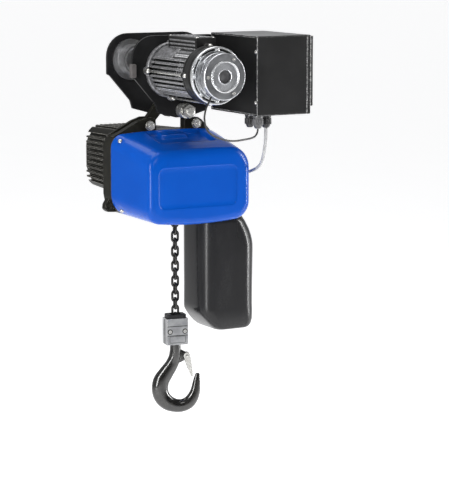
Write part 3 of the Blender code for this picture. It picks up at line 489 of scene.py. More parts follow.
def tube(path, radius, detail=4, closed=False, radii=None, matrix=None):
    """Round wire along a path in metres, with 4 + 2 * detail corners round it."""
    curve = bpy.data.curves.new("wire", "CURVE")
    curve.dimensions = "3D"
    curve.bevel_depth = radius
    curve.bevel_resolution = detail
    curve.use_fill_caps = not closed
    spline = line_in(curve, len(path), closed)
    for i, (point, place) in enumerate(zip(spline.points, path)):
        point.co = (*place, 1)
        point.radius = radii[i] / radius if radii else 1
    shape = from_curve(curve, matrix)
    bmesh.ops.recalc_face_normals(shape, faces=shape.faces)
    return shape


def loft(sections, axis="Y", cap_start=False, cap_end=False):
    shape = bmesh.new()
    rings = []
    for place, outline in sections:
        points = [(u, place, v) if axis == "Y" else (u, v, place) for u, v in outline]
        rings.append([shape.verts.new(Vector(p) * MM) for p in points])
    for lower, upper in zip(rings, rings[1:]):
        for i in range(len(lower)):
            j = (i + 1) % len(lower)
            shape.faces.new((lower[i], lower[j], upper[j], upper[i]))
    if cap_start:
        shape.faces.new(rings[0])
    if cap_end:
        shape.faces.new(rings[-1])
    bmesh.ops.recalc_face_normals(shape, faces=shape.faces)
    return shape


def aimed(shape, place, direction, spin=0.0):
    """Moves a shape built along +Z from the origin to a place, pointing along a direction."""
    turn = Vector(direction).to_track_quat("Z", "Y").to_matrix().to_4x4()
    shape.transform(moved(*place) @ turn @ Matrix.Rotation(spin, 4, "Z"))
    return shape


def domed_screw(radius, height, place, direction):
    """A round head with a small drive recess."""
    profile = [(height * 0.4, 0), (height * 0.4, radius * 0.34), (height * 0.93, radius * 0.42)]
    profile += [(height * 0.8, radius * 0.72), (height * 0.4, radius * 0.95), (-0.8, radius), (-0.8, 0)]
    return aimed(turned(profile, "Z", steps=24, soften=0.2), place, direction)


def socket_screw(radius, height, place, direction, spin=0.0):
    """A cylinder head with a hexagon socket."""
    wall = [(0, radius * 0.55), (height, radius * 0.55), (height, radius), (0, radius)]
    head = turned(wall, "Z", steps=28, soften=0.35, closed=True)
    well = [circle(0, 0, radius * 0.62, 28), circle(0, 0, radius * 0.5, 6)]
    floor = [(height * 0.35, 0), (height * 0.35, radius * 0.6), (0, radius * 0.6), (0, 0)]
    parts = [head, prism(well, "Z", 0, height * 0.9, 0.1), turned(floor, "Z", steps=18)]
    return aimed(merge(parts), place, direction, spin)


def hex_head(across, height, place, direction, spin=0.0, bore=0.0):
    """A hexagon head or nut with its corners turned down."""
    corner = across / sqrt(3)
    outlines = [circle(0, 0, corner, 6)]
    if bore:
        outlines.append(circle(0, 0, bore, 36))
    shape = prism(outlines, "Z", 0, height, 0.25, 1)
    for vertex in shape.verts:
        out = hypot(vertex.co.x, vertex.co.y) / MM
        if out > across / 2:
            drop = (out - across / 2) * 0.55 * MM
            vertex.co.z += -drop if vertex.co.z > height / 2 * MM else drop
    return aimed(shape, place, direction, spin)


def as_mesh(name, shape):
    mesh = bpy.data.meshes.new(name)
    shape.to_mesh(mesh)
    shape.free()
    return mesh


def merge(shapes):
    whole = bmesh.new()
    for shape in shapes:
        mesh = as_mesh("part", shape)
        whole.from_mesh(mesh)
        bpy.data.meshes.remove(mesh)
    return whole


def thicken(piece, wall):
    """Gives a skin its wall, inwards."""
    step_in = piece.modifiers.new("wall", "SOLIDIFY")
    step_in.thickness = wall * MM
    step_in.offset = -1


def put(name, shapes, finish, body, stands_for=(), crease=40, even=True):
    """Makes the piece, gives it its finish and lets it ride on its body."""
    shape = merge(shapes if isinstance(shapes, list) else [shapes])
    limit = radians(crease)
    for face in shape.faces:
        face.smooth = True
    for edge in shape.edges:
        edge.smooth = len(edge.link_faces) != 2 or edge.calc_face_angle(0) < limit
    obj = shown(name, as_mesh(name, shape))
    material, slot = LOOKS[finish]
    obj.data.materials.append(material)
    if even:
        obj.modifiers.new("normals", "WEIGHTED_NORMAL").keep_sharp = True
    if body:
        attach(obj, body)
    if stands_for:
        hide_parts(*([stands_for] if isinstance(stands_for, str) else stands_for))
    return obj


def put_node(name, node, bevel, finish, body, segments=3, angle=28):
    """A piece with the CAD node's own shape and rounded edges, in place of the node."""
    shape = bmesh.new()
    shape.from_mesh(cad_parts[node].data)
    return put(name, bevelled(shape, bevel, segments, angle), finish, body, node)


# Cords


def cords():
    route = smooth_path(BRAKE_CABLE, 0.004)
    wire = tube(route, 0.0018)
    piece = put("brake_cable_sheath", wire, "black_sheath", "trolley", "brake_cable", even=False)
    length = length_of(route)
    route = smooth_path(HOIST_CABLE, 0.006)
    piece = put("hoist_cable_sheath", tube(route, 0.0032), "grey_sheath", None, "hoist_cable", even=False)
    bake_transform(piece)
    length = length_of(route)


cords()


# Trolley


def trolley():
    for side, place in ENDS:
        put_node(f"plate_{place}", f"side_plate_{place}", 1.2, "paint", "trolley")
        low, high = sorted((side * PLATE_FACE, side * 78))
        sleeve = rod(low, high, 14.5, "Y", (0, LOAD_BAR_Z), 72, 1.6, 8.45)
        put(f"sleeve_{place}", sleeve, "turned_zinc", "trolley", f"load_sleeve_{place}")
        nut = hex_head(24.0, 12.7, (0, side * 78.3, LOAD_BAR_Z), (0, side, 0), pi / 6, 8.45)
        put(f"nut_{place}", nut, "zinc", "trolley", f"load_nut_{place}")
        for x, end in ((-WHEEL_X, "left"), (WHEEL_X, "right")):
            axle = [(16, 0), (16, 6), (PLATE_FACE, 6), (PLATE_FACE, 8), (59.0, 8), (59.7, 6.8), (59.7, 3.2)]
            axle = [(side * h, r) for h, r in [*axle, (58.6, 2.6), (58.6, 0)]]
            shape = turned(axle, "Y", (x, AXLE_Z), 48, 0.4)
            put(f"axle_{place}_{end}", shape, "zinc", "trolley", f"wheel_axle_{place}_{end}")
    thread = [(-94, 0), (-94, 7)]
    for start, way in ((-93.5, 1), (93.5, -1)):
        turns = []
        for i in range(8):
            turns += [(start + way * 2 * i, 8.0), (start + way * (2 * i + 1), 7.1)]
        thread += turns if way > 0 else turns[::-1]
    thread += [(94, 7), (94, 0)]
    bar = turned(thread, "Y", (0, LOAD_BAR_Z), 48, 0.15)
    put("load_bar_turned", bar, "turned_zinc", "trolley", "load_bar")
    for place in ("left", "right"):
        put_node(f"bumper_{place}", f"buffer_{place}", 1.0, "rubber", "trolley")


def wheels():
    for side, row in ENDS:
        rim = 36.0 if side < 0 else 40.0
        profile = [(17, 6.45), (17, 11), (19, 13), (19, 24), (17, 26), (17, 30), (43, 30), (43, rim)]
        profile += [(50, rim), (50, 27), (48, 25), (48, 14), (50, 12), (50, 6.45)]
        profile = [(side * h, r) for h, r in profile]
        for x, place in ((-WHEEL_X, "left"), (WHEEL_X, "right")):
            shapes = [turned(profile, "Y", (x, AXLE_Z), 80, 0.8, True)]
            if side < 0:
                teeth = [gear(x, AXLE_Z, 2.5, WHEEL_TEETH), circle(x, AXLE_Z, 33)]
                shapes.append(prism(teeth, "Y", -49.5, -43.5, 0.25, 1))
                half_tooth = 180 / WHEEL_TEETH
                shapes[-1].transform(turn_about(x, AXLE_Z, half_tooth if x < 0 else 180 + half_tooth))
            name = f"wheel_{row}_{place}"
            put(name, shapes, "steel", name, f"travel_{name}")


def turn_about(x, z, degrees):
    """A turn in the plane of X and Z, counted from +X towards +Z."""
    there = moved(x, 0, z)
    return there @ Matrix.Rotation(radians(-degrees), 4, "Y") @ there.inverted()


def ribbed(x, y, half, corner, depth, pitch, rib, ribs):
    """A rounded square or circle with ribs standing straight out of its four sides."""
    side = []
    for index in range(ribs):
        middle = (index - (ribs - 1) / 2) * pitch
        for offset, inwards in ((-rib / 2, depth), (-rib / 2, 0), (rib / 2, 0), (rib / 2, depth)):
            along = middle + offset
            past = max(0.0, abs(along) - (half - corner))
            side.append((half - corner + sqrt(max(0.0, corner**2 - past**2)) - inwards, along))
    side = side[1:-1]
    points = []
    for turn in range(4):
        c, s = cos(turn * pi / 2), sin(turn * pi / 2)
        points += [(x + u * c - v * s, y + u * s + v * c) for u, v in side]
    return points


QUARTERS = (0, 90, 180, 270)


def polar(radius, degrees, y):
    """A point at a place along the travel motor, out from its axis."""
    a = radians(degrees)
    return (TRAVEL[0] + radius * cos(a), y, TRAVEL[1] + radius * sin(a))


def set_round(shape, radius, degrees):
    """Moves a shape made at the origin out from the travel motor's axis, and turns it to suit."""
    x, _, z = polar(radius, degrees, 0)
    turn = Matrix.Rotation(radians(-degrees), 4, "Y")
    shape.transform(moved(x, 0, z) @ turn)
    return shape


def ring(profile, soften, steps=120):
    """A turned ring round the travel motor's axis."""
    return turned(profile, "Y", TRAVEL, steps, soften, True)


def studs(profile, radius, steps, soften, angles=QUARTERS):
    """The same turned piece at places round the travel motor."""
    places = [polar(radius, angle, 0) for angle in angles]
    return [turned(profile, "Y", (x, z), steps, soften) for x, _, z in places]


def travel_motor():
    body = "trolley"
    flange = [(-66, 30), (-66, 52), (-64, 54), (-57.3, 54), (-57.3, 30)]
    shapes = [ring(flange, 0.8, 96)]
    shapes += studs([(-66, 0), (-66, 9), (-57.3, 9), (-57.3, 0)], 50, 28, 1.0)
    put("drive_flange", shapes, "cast_grey", body, "travel_motor_flange")
    fins = ribbed(*TRAVEL, 48, 48, 7, 8.6, 3.6, 9)
    shapes = [prism([fins, circle(*TRAVEL, 38.5, 64)], "Y", -205, -66.3, 0.8, 2)]
    pad = arc(*TRAVEL, 50, 106, 146, 8) + arc(*TRAVEL, 42, 146, 106, 8)
    shapes.append(prism([pad], "Y", -140, -70, 1.2, 2))
    for index, width in enumerate((7, 4, 9, 4)):
        for row in range(3):
            start = -196 + 9 * row + 3 * index
            rib = block((-4.6, start, -width / 2), (3.4, start + 3, width / 2), 0.5)
            shapes.append(set_round(rib, 44, 158 + 9 * index))
    put("drive_housing", shapes, "cast_grey", body, "travel_motor_housing")
    # Thin black slabs on the pad: painted shade standing in for its vent slots.
    slots = []
    for index in range(4):
        vent = block((-0.3, -100 - 9 * index, -1.5), (0.45, -97 - 9 * index, 4.5), 0.2)
        slots.append(set_round(vent, 50, 109 + 3.4 * index))
    put("pad_slot_shade", slots, "shield_black", body)

    put_node("terminal_cover", "travel_terminal_cover", 1.6, "shield_black", body)
    ribs = [block((x, -196, 81), (x + 3.4, -96, 84.4), 0.8) for x in (-41, -32, -23, -14)]
    ribs += [block((-47.2, -196, z), (-44, -96, z + 3), 0.8) for z in (60, 67, 74)]
    put("terminal_ribs", ribs, "cast_grey", body)
    heads = [domed_screw(2.6, 1.8, (x, y, 82.6), (0, 0, 1)) for x in (-42, -8) for y in (-196, -92)]
    put("terminal_screws", heads, "zinc", body)

    shield = [(-205.3, 30), (-205.3, 54), (-209, 54), (-210, 53.2), (-214, 53.2), (-215, 54), (-229, 54)]
    shield += [(-236.7, 49.5), (-236.7, 7), (-234, 7), (-234, 30)]
    shapes = [ring(shield, 0.8, 96)]
    shapes += studs([(-216, 0), (-216, 6.4), (-205.3, 6.4), (-205.3, 0)], 51.5, 24, 1.2)
    put("drive_shield", shapes, "shield_black", body, "travel_motor_shield")

    shapes = studs([(-205, 0), (-205, 1.9), (-66, 1.9), (-66, 0)], 54, 16, 0.2, (0, 180, 270))
    head = [(-57.5, 0), (-57.5, 5.4), (-67.5, 5.4), (-71.5, 4.2), (-73, 2.0), (-73, 0)]
    shapes += studs(head, 54, 24, 1.0)
    head = [(-200, 0), (-200, 4.4), (-216.4, 4.4), (-219.5, 3.4), (-220.5, 1.6), (-220.5, 0)]
    shapes += studs(head, 53.4, 24, 1.0)
    put("tie_bolts", shapes, "zinc", body)

    rim = [(-243, 50.6), (-243, 53.2), (-241.5, 54), (-237, 54), (-237, 50.6)]
    hub = [(-240.5, 44), (-240.5, 46.4), (-237, 46.4), (-237, 44)]
    shapes = [ring(rim, 0.5, 96), ring(hub, 0.4, 96)]
    for index in range(8):
        angle = 45 * index
        shapes.append(set_round(block((-3.4, -242.4, -4.4), (3.2, -237, 4.4), 0.8), 48.4, angle))
        shapes.append(domed_screw(2.0, 1.0, polar(48.4, angle, -242.2), (0, -1, 0)))
    put("slotted_ring", shapes, "brake_bright", body, "brake_flange_ring")


def brake():
    body = "trolley"
    side = [(-237, 36), (-237, 43.5), (-250, 43.5), (-250.6, 42.9), (-251.8, 42.9), (-252.4, 43.5)]
    side += [(-262, 43.5), (-262, 42), (-264, 42), (-264, 43.5), (-270.8, 43.5), (-272, 42.3)]
    side += [(-272, 40), (-248, 36)]
    put("magnet_body", ring(side, 0.4), "brake_face", body, "brake_magnet")
    face = [(-250, 42.2), (-272, 42.2), (-272.2, 41.8), (-272.2, 29.6), (-250, 29.6)]
    put("magnet_face", ring(face, 0.15), "brake_dark", body)
    # Painted highlight: the lip is given the bright copy of the aluminium finish.
    lip = [(-262, 29.6), (-273.4, 29.6), (-274, 28.8), (-274, 27.2), (-273.4, 26.6), (-270.8, 26.2)]
    lip.append((-262, 26.2))
    put("magnet_lip", ring(lip, 0.2), "brake_bright", body)
    inner = [(-262, 26.2), (-271, 26.2), (-271, 14.2), (-271.6, 13.6), (-271.4, 12.5), (-262, 12.5)]
    put("magnet_core", ring(inner, 0.3), "brake_face", body)
    # Painted shade: the bore's floor takes the near-black copy of the aluminium finish.
    hub = [(-266.5, 0), (-266.5, 12.4), (-262, 12.4)]
    put("magnet_bore", turned(hub, "Y", TRAVEL, 60, 0.3), "brake_bore_shade", body)
    places = [polar(36, angle, -271.9) for angle in (60, 180, 300)]
    heads = [socket_screw(3.3, 2.0, place, (0, -1, 0), 0.3) for place in places]
    put("magnet_screws", heads, "zinc", body)
    grommet = [(-2.5, 0), (-2.5, 3.4), (0.6, 3.2), (0.6, 1.8), (-1, 1.8), (-1, 0)]
    grommet = aimed(turned(grommet, "Z", steps=24, soften=0.3), (-45.0, -255.0, -23.6), (-0.47, 0, -0.88))
    put("cable_grommet", grommet, "moulded", body)


def control_box():
    body = "trolley"
    outer = rounded(-238, -60, -65, 85, 2.6, 5)
    inner = rounded(-234.5, -63.5, -61.5, 81.5, 0.8, 2)
    put("box_shell", prism([outer, inner], "X", 63, 172.6, 1.5, 4), "box_paint", body, "control_box_shell")
    lid = [prism([outer], "X", 173.2, 180.6, 1.2, 3)]
    lid.append(block((180.3, -238, -50), (186, -224, 83), 1.4, 3))
    lid.append(block((180.3, -74, -50), (184, -60, 83), 1.4, 3))
    put("box_lid", lid, "box_paint", body, "control_box_lid")
    panel = [prism([rounded(-235.7, -62.3, -62.7, 82.7, 0.6, 2)], "X", 66, 67.5, 0.3, 1)]
    put("box_panel", panel, "box_paint", body, "control_box_panel")
    heads = [domed_screw(3.6, 2.2, (66, y, z), (-1, 0, 0)) for y in (-228, -70) for z in (55, -40)]
    heads += [domed_screw(3.2, 2.0, (181, y, z), (1, 0, 0)) for y in (-214, -84) for z in (72, -54)]
    put("box_screws", heads, "zinc", body)
    put_node("box_bracket", "control_box_bracket", 0.5, "paint", body, 2)
    for name, x, y, radius in (("rear", 74, -192, 10), ("brake", 74, -222, 10.5), ("hoist", 97, -213, 10.5)):
        flange = [(-65.3, 0), (-65.3, radius - 0.4), (-69, radius - 0.4), (-70, radius - 1.6)]
        flange += [(-71.4, radius - 1.6), (-71.4, 0)]
        shapes = [turned(flange, "Z", (x, y), 36, 0.3)]
        shapes.append(prism([circle(x, y, radius, 6)], "Z", -69.4, -65.6, 0.5, 2))
        crown = []
        for tooth in range(12):
            a = tooth * 30
            crown += arc(x, y, radius, a - 8, a + 8, 2) + arc(x, y, radius - 1.3, a + 12, a + 18, 1)
        shapes.append(prism([crown], "Z", -82.5, -71.4, 0.5, 2))
        dome = [(-82.2, 0), (-82.2, radius - 1.6), (-87, radius - 3.6), (-89.3, radius - 5), (-89.3, 0)]
        shapes.append(turned(dome, "Z", (x, y), 36, 1.2))
        finish = "gland_grey" if name == "brake" else "gland_plastic"
        put(f"gland_{name}", shapes, finish, body, f"cable_gland_{name}")


# Hoist


def casting():
    body = "hoist"
    put_node("suspension_forging", "suspension_bracket", 1.6, "cast_black", body)
    for x, place in ((-LUG_X, "left"), (LUG_X, "right")):
        washer = [(-22, 5.2), (-22, 9.6), (-20.4, 9.9), (-20.4, 5.2)]
        mark = [(-28.1, 0), (-28.1, 4.2), (-28.5, 3.8), (-28.5, 0)]
        shapes = [
            turned(washer, "Y", (x, LUG_Z), 40, 0.4, True),
            hex_head(15.6, 6.2, (x, -22, LUG_Z), (0, -1, 0), 0.35),
            turned(mark, "Y", (x, LUG_Z), 30, 0.3),
            rod(-28, 22, 5, "Y", (x, LUG_Z), 24, 0.6),
            rod(14.3, 16, 9, "Y", (x, LUG_Z), 40, 0.4, 5.2),
            hex_head(15.4, 6.0, (x, 16, LUG_Z), (0, 1, 0), 0.2),
        ]
        put(f"bolt_{place}", shapes, "zinc", body, f"suspension_bolt_{place}")
    put_node("casting", "gear_housing", 1.0, "cast_black", body, angle=32)
    put("casting_eye", rod(-9.2, 7.2, 6.6, "Y", (-135.5, -252.5), 36, 0.8, 3.4), "cast_black", body)
    motor_flange = [(19, 40), (19, 62), (21, 62), (25, 58), (25, 40)]
    put("motor_spigot", turned(motor_flange, "Y", MOTOR, 72, 0.6, True), "cast_black", body)
    places = ((-120, -232), (-120, -134), (112, -232), (100, -142), (-4, -252), (60, -128))
    heads = [socket_screw(3.6, 3.4, (x, 19, z), (0, 1, 0), 0.2) for x, z in places]
    put("back_screws", heads, "zinc", body)
    strap = block((134.3, -14, -302), (137.3, 10, -215), 0.8, 2)
    put("hanger_strap", strap, "paint", body, "container_hanger")
    bolts = [hex_head(9, 3.2, (136.8, -2, z), (1, 0, 0), 0.4) for z in (-226, -246)]
    bolts.append(rod(136, 157, 4, "X", (-2, -292), 24, 0.5))
    bolts.append(rod(149.2, 150.6, 7.5, "X", (-2, -292), 30, 0.4))
    bolts.append(hex_head(9, 3.4, (150.6, -2, -292), (1, 0, 0), 0.1))
    put("hanger_bolts", bolts, "zinc", body)
    elbow = [(134.3, 0), (134.3, 9.6), (138, 9.6), (139, 7), (151, 7), (152.5, 5.5), (152.5, 0)]
    shapes = [turned(elbow, "X", (3, -197), 36, 0.8)]
    shapes.append(prism([circle(3, -197, 10, 6)], "X", 134.4, 138, 0.5))
    barrel = [(4, 0), (4, 6.9), (-12, 6.9), (-12, 8), (-19, 8), (-24, 5), (-24, 0)]
    shapes.append(turned(barrel, "Y", (145.5, -197), 36, 0.6))
    put("side_gland", shapes, "gland_plastic", body, "hoist_cable_gland")


# X of the points along the cover's top, close together where the tray's and the pad's edges fall
TOP_STATIONS = [-72, -66, -63.4, -62, -60, -58.6, -50, -40.4, -38.4, -36.6, -35, -20, -8, 4, 13, 14.8, 16.6]
TOP_STATIONS += [18.6, 30, 40, 50, 54.6, 56, 58, 60, 61]


def step(value, start, end):
    """0 before start, 1 past end, and smooth between them."""
    t = min(1.0, max(0.0, (value - start) / (end - start)))
    return t * t * (3 - 2 * t)


def spread(start, end, count):
    """Even places between start and end, without the two."""
    return [start + (end - start) * i / count for i in range(1, count)]


def frame_loop(left, right, low, high, radii, crown_top=0.0, crown_low=0.0, stations=None):
    """A rounded rectangle with bowed top and bottom. Loops with as many stations match point by point."""
    a, b, c, d = radii
    stations = stations or spread(left + d, right - c, 27)
    points = arc(left + a, low + a, a, 180, 270, 9)
    points += [(x, low) for x in spread(left + a, right - b, 17)]
    points += arc(right - b, low + b, b, 270, 360, 9)
    points += [(right, z) for z in spread(low + b, high - c, 15)]
    points += arc(right - c, high - c, c, 0, 90, 9) + [(x, high) for x in reversed(stations)]
    points += arc(left + d, high - d, d, 90, 180, 9)
    points += [(left, z) for z in spread(high - d, low + a, 15)]
    middle, half = (left + right) / 2, (right - left) / 2
    bowed = []
    for x, z in points:
        lift = 1 - ((x - middle) / half) ** 2
        share = (z - low) / (high - low)
        bowed.append((x, z + lift * (crown_top * share - crown_low * (1 - share))))
    return bowed


def cover_section(inset, share):
    """From the casting's outline at share 0 to the front face at share 1."""
    radii = [a + (b - a) * share - 0.4 * inset for a, b in zip(BODY_RADII, COVER_RADII)]
    left, right = BODY_LEFT + 24 * share + inset, BODY_RIGHT - 22 * share - inset
    squeeze = min(1.0, (right - radii[2] - 1) / TOP_STATIONS[-1])
    stations = [x * squeeze if x > 0 else x for x in TOP_STATIONS]
    low, high = BODY_LOW - 7 * share + inset, BODY_TOP - 24 * share - 1.5 * inset
    return frame_loop(left, right, low, high, radii, 6 - 3 * share, 8, stations)


def panel_section(inset):
    radius = max(1.5, 13 - inset)
    return frame_loop(-92 + inset, 80 - inset, -245 + inset, -165 - inset, [radius] * 4)


def cover_share(y):
    return 0.98 * (COVER_REAR - y) / COVER_SLOPE


def tray_depth(x, y):
    """How far the cover's sloping top is let down between its rear rim and its front ridge."""
    inside = step(x, -64, -59) * (1 - step(x, 55, 60.5)) * step(-y, 23, 27) * (1 - step(-y, 80, 90))
    pad = step(x, -40.5, -35.5) * (1 - step(x, 13.5, 19)) * (1 - step(-y, 44, 52))
    return 7.5 * inside * (1 - 0.75 * pad)


def cover():
    places = [COVER_REAR, -22.4, -23.4, -24.4, -25.6, -27, -30, -36, -42, -45, -48, -51, -54, -60, -66]
    places += [-72, -77, -80, -82.5, -85, -87.5, -90, -94, -100, -106, -112]
    sections = [(y, cover_section(0, cover_share(y))) for y in places]
    depth, rise = 15.6, 8
    for turn in range(rise + 1):
        a = radians(90 * turn / rise)
        sections.append((-118.6 - depth * sin(a), cover_section(depth * (1 - cos(a)), 1)))
    outer, inner = cover_section(depth, 1), panel_section(0)
    for share in (0.25, 0.5, 0.75):
        ring = [(a + (c - a) * share, b + (d - b) * share) for (a, b), (c, d) in zip(outer, inner)]
        sections.append((-134.2 - 0.8 * share, ring))
    panel = [(-135, 0), (-134.9, 0.5), (-134.2, 1.2), (-133.9, 2), (-133.9, 12), (-134, 24), (-134, 36)]
    sections += [(y, panel_section(inset)) for y, inset in panel]
    shape = loft(sections, cap_end=True)
    corners = ((-125, -120), (-122, -255.5), (111, -131.6), (122, -257.3))
    for vertex in shape.verts:
        x, y, z = vertex.co / MM
        top = BODY_TOP - 24 * cover_share(y)
        if z > top - 8 and y > -108:
            vertex.co.z -= tray_depth(x, y) * MM
        for corner_x, corner_z in corners:
            away = dist((x, y, z), (corner_x, -36, corner_z))
            if away < 13:
                vertex.co.x += copysign((1 - step(away, 5, 13)) * 2.0, -corner_x) * MM
    piece = put("cover_shell", shape, "blue_paint", "hoist", "front_cover", crease=75, even=False)
    thicken(piece, 3.2)
    screws = []
    for x, z in corners:
        way = (copysign(0.62, x), -0.55, copysign(0.56, z + 190))
        screws.append(domed_screw(4.2, 2.6, (x - copysign(0.8, x), -37, z), way))
    put("cover_screws", screws, "zinc", "hoist")


def taper(shape):
    """Narrows the hoist motor's housing towards its far end."""
    for vertex in shape.verts:
        scale = 1 - MOTOR_TAPER * (vertex.co.y / MM - MOTOR_NEAR) / (MOTOR_FAR - MOTOR_NEAR)
        vertex.co.x = MOTOR[0] * MM + (vertex.co.x - MOTOR[0] * MM) * scale
        vertex.co.z = MOTOR[1] * MM + (vertex.co.z - MOTOR[1] * MM) * scale
    return shape


def hoist_motor():
    body = "hoist"
    fins = ribbed(*MOTOR, 72, 34, 8, 11.4, 4, 11)
    shapes = [taper(prism([fins, circle(*MOTOR, 52, 64)], "Y", MOTOR_NEAR, MOTOR_FAR, 1.1, 3))]
    put("finned_housing", shapes, "fin_black", body, "motor_housing")
    x, z = MOTOR
    table = [(232.3, 51, 33), (233, 52.6, 34), (236, 53, 34), (252, 53, 34), (257, 52, 33)]
    table += [(261.5, 49.5, 31.5), (265, 45.5, 29), (267.2, 41, 26), (268, 36, 24)]
    sections = []
    for y, half, corner in table:
        sections.append((y, rounded(x - half, x + half, z - half, z + half, corner, 10)))
    shapes = [loft(sections, cap_start=True, cap_end=True)]
    for rise in range(-36, 37, 9):
        half = sqrt(50**2 - rise**2) * 0.92
        shapes.append(block((x - half, 240, z + rise - 1.6), (x + half, 267.6, z + rise + 1.6), 0.6))
    put("end_bell", shapes, "cast_black", body, "motor_end_cover")
    places = [(x + u, 264.2, z + v) for u in (-33, 33) for v in (-33, 33)]
    put("end_screws", [domed_screw(3.2, 2.2, place, (0, 1, 0)) for place in places], "zinc", body)


def link(x, y, z, yaw):
    """One chain link: two straight sides and two round ends."""
    outline = arc(0, 4.7, 6.0, 0, 180, 12) + arc(0, -4.7, 6.0, 180, 360, 12)
    turn = Matrix.Rotation(yaw, 3, "Z")
    path = [(turn @ Vector((u, 0, v)) + Vector((x, y, z))) * MM for u, v in outline]
    return tube(path, 2.5 * MM, 2, True)


def chains():
    shapes = [link(CHAIN_X, 0, -200 - PITCH * i, BLOCK_YAW + i % 2 * pi / 2) for i in range(20)]
    put("hanging_chain", shapes, "chain_black", "lift", "load_chain", even=False)
    shapes = [link(SLACK_X, 0, -205 - PITCH * i, i % 2 * pi / 2) for i in range(13)]
    rng = random.Random(7)
    for _ in range(70):
        high = rng.uniform(0, 1)
        reach = 22 * sqrt(1 - high) + 2
        a, r = rng.uniform(0, 2 * pi), reach * sqrt(rng.random())
        place = moved(94.5 + r * cos(a), -8 + r * sin(a), -468 + 66 * high)
        spin = Matrix.Rotation(rng.uniform(0, 6.28), 4, "Z")
        lean = Matrix.Rotation(rng.uniform(0.8, 2.3), 4, "X")
        shapes.append(link(0, 0, 0, 0))
        shapes[-1].transform(place @ spin @ lean)
    put("stored_chain", shapes, "chain_black", "hoist", "slack_chain", even=False)


def container():
    table = [(-507, 82, 149, -55, 32, 14), (-506.5, 79.5, 152.5, -58, 35, 16)]
    table += [(-504.5, 76, 156, -60.5, 37.5, 17.5), (-499, 69.5, 160, -62.5, 39.5, 19)]
    table += [(-490, 61, 162.3, -64, 41, 20), (-480, 53, 163.5, -64.7, 41.7, 23)]
    table += [(-471, 47, 164.3, -65, 42, 25), (-464, 45.2, 164.8, -65, 42, 27)]
    table += [(-456, 45, 165.1, -65.1, 42.1, 28), (-420, 44.7, 166, -65.4, 42.4, 30)]
    table.append((-380, 44.3, 167, -65.7, 42.7, 31))
    upper = [(-348, 167.7), (-338, 167.4), (-330, 166), (-320, 163.2), (-308, 158.7), (-292, 150)]
    table += [(z, 44, right, -66, 43, 32) for z, right in [*upper, (-279.5, 141)]]
    sections = [(z, rounded(*sides, radius, 10)) for z, *sides, radius in table]
    shape = loft(sections, "Z", cap_start=True)
    node = "chain_container"
    thicken(put("chain_bag_shell", shape, "satin_plastic", "hoist", node, crease=60, even=False), 2.5)
    lip = [Vector((u, v, -280.6)) * MM for u, v in rounded(44.9, 140.6, -65.1, 42.1, 31, 10)]
    put("container_lip", tube(lip, 1.6 * MM, 2, True), "satin_plastic", "hoist", even=False)


def hook_block():
    body = "lift"
    for side, place in ENDS:
        put_node(f"block_{place}", f"hook_block_{place}", 1.6, "block_metal", body)
        low, high = sorted((side * 14.9, side * 15.25))
        # Thin black sheets on the block's faces: painted shade for the grooves between its bands, and dark
        # lines round the label and round the screws.
        border = [rounded(-16.5, 16.5, -533, -519.5, 1.5, 4), rounded(-15.7, 15.7, -532.2, -520.3, 1.0, 4)]
        groove_shades = [prism(border, "Y", low, high, 0, 1, BLOCK_TURN)]
        for top in (-498.6, -517.4):
            groove_shades.append(block((-21.3, low, top - 1.5), (21.3, high, top), 0, 1, BLOCK_TURN))
        screws = []
        for x, z in ((-15.5, -510), (15.5, -510)):
            border = [circle(x, z, 5.4, 30), circle(x, z, 3.6, 30)]
            groove_shades.append(prism(border, "Y", low, high, 0, 1, BLOCK_TURN))
            head = [circle(x, z, 3.5, 28), circle(x, z, 1.7, 6)]
            screws.append(prism(head, "Y", side * 15.3 - 0.5, side * 15.3 + 0.5, 0.3, 2, BLOCK_TURN))
        put(f"block_groove_shade_{place}", groove_shades, "shield_black", body)
        put(f"block_screws_{place}", screws, "zinc", body)
    seams = [block((x - 0.3, -1.6, -535.5), (x + 0.3, 1.6, -485.5), 0.1, 1, BLOCK_TURN) for x in (-22, 22)]
    put("block_seams", seams, "moulded", body)
    put_node("block_insert", "chain_insert", 0.8, "moulded", body)


# X, Z and radius along the hook, from the top of its shank to its tip
HOOK_LINE = [
    (0, -503, 7.3), (0, -537.9, 7.3), (0, -538.9, 10.8), (0, -552, 11.5), (-2, -566, 12.4),
    (-8.5, -581, 13.5), (-19.5, -597, 15.3), (-29, -612.5, 16.8), (-31.5, -630, 16.9),
    (-27, -646, 16.5), (-15.5, -658, 15.6), (-1, -664, 14), (13.5, -664.5, 13.4),
    (26.5, -659, 13.1), (35.5, -648, 11.8), (40.5, -635, 10.1), (42.5, -621.5, 8.4),
    (44, -610, 6.7), (45.5, -600.5, 4.5),
]
LATCH = (23.0, -562.0)


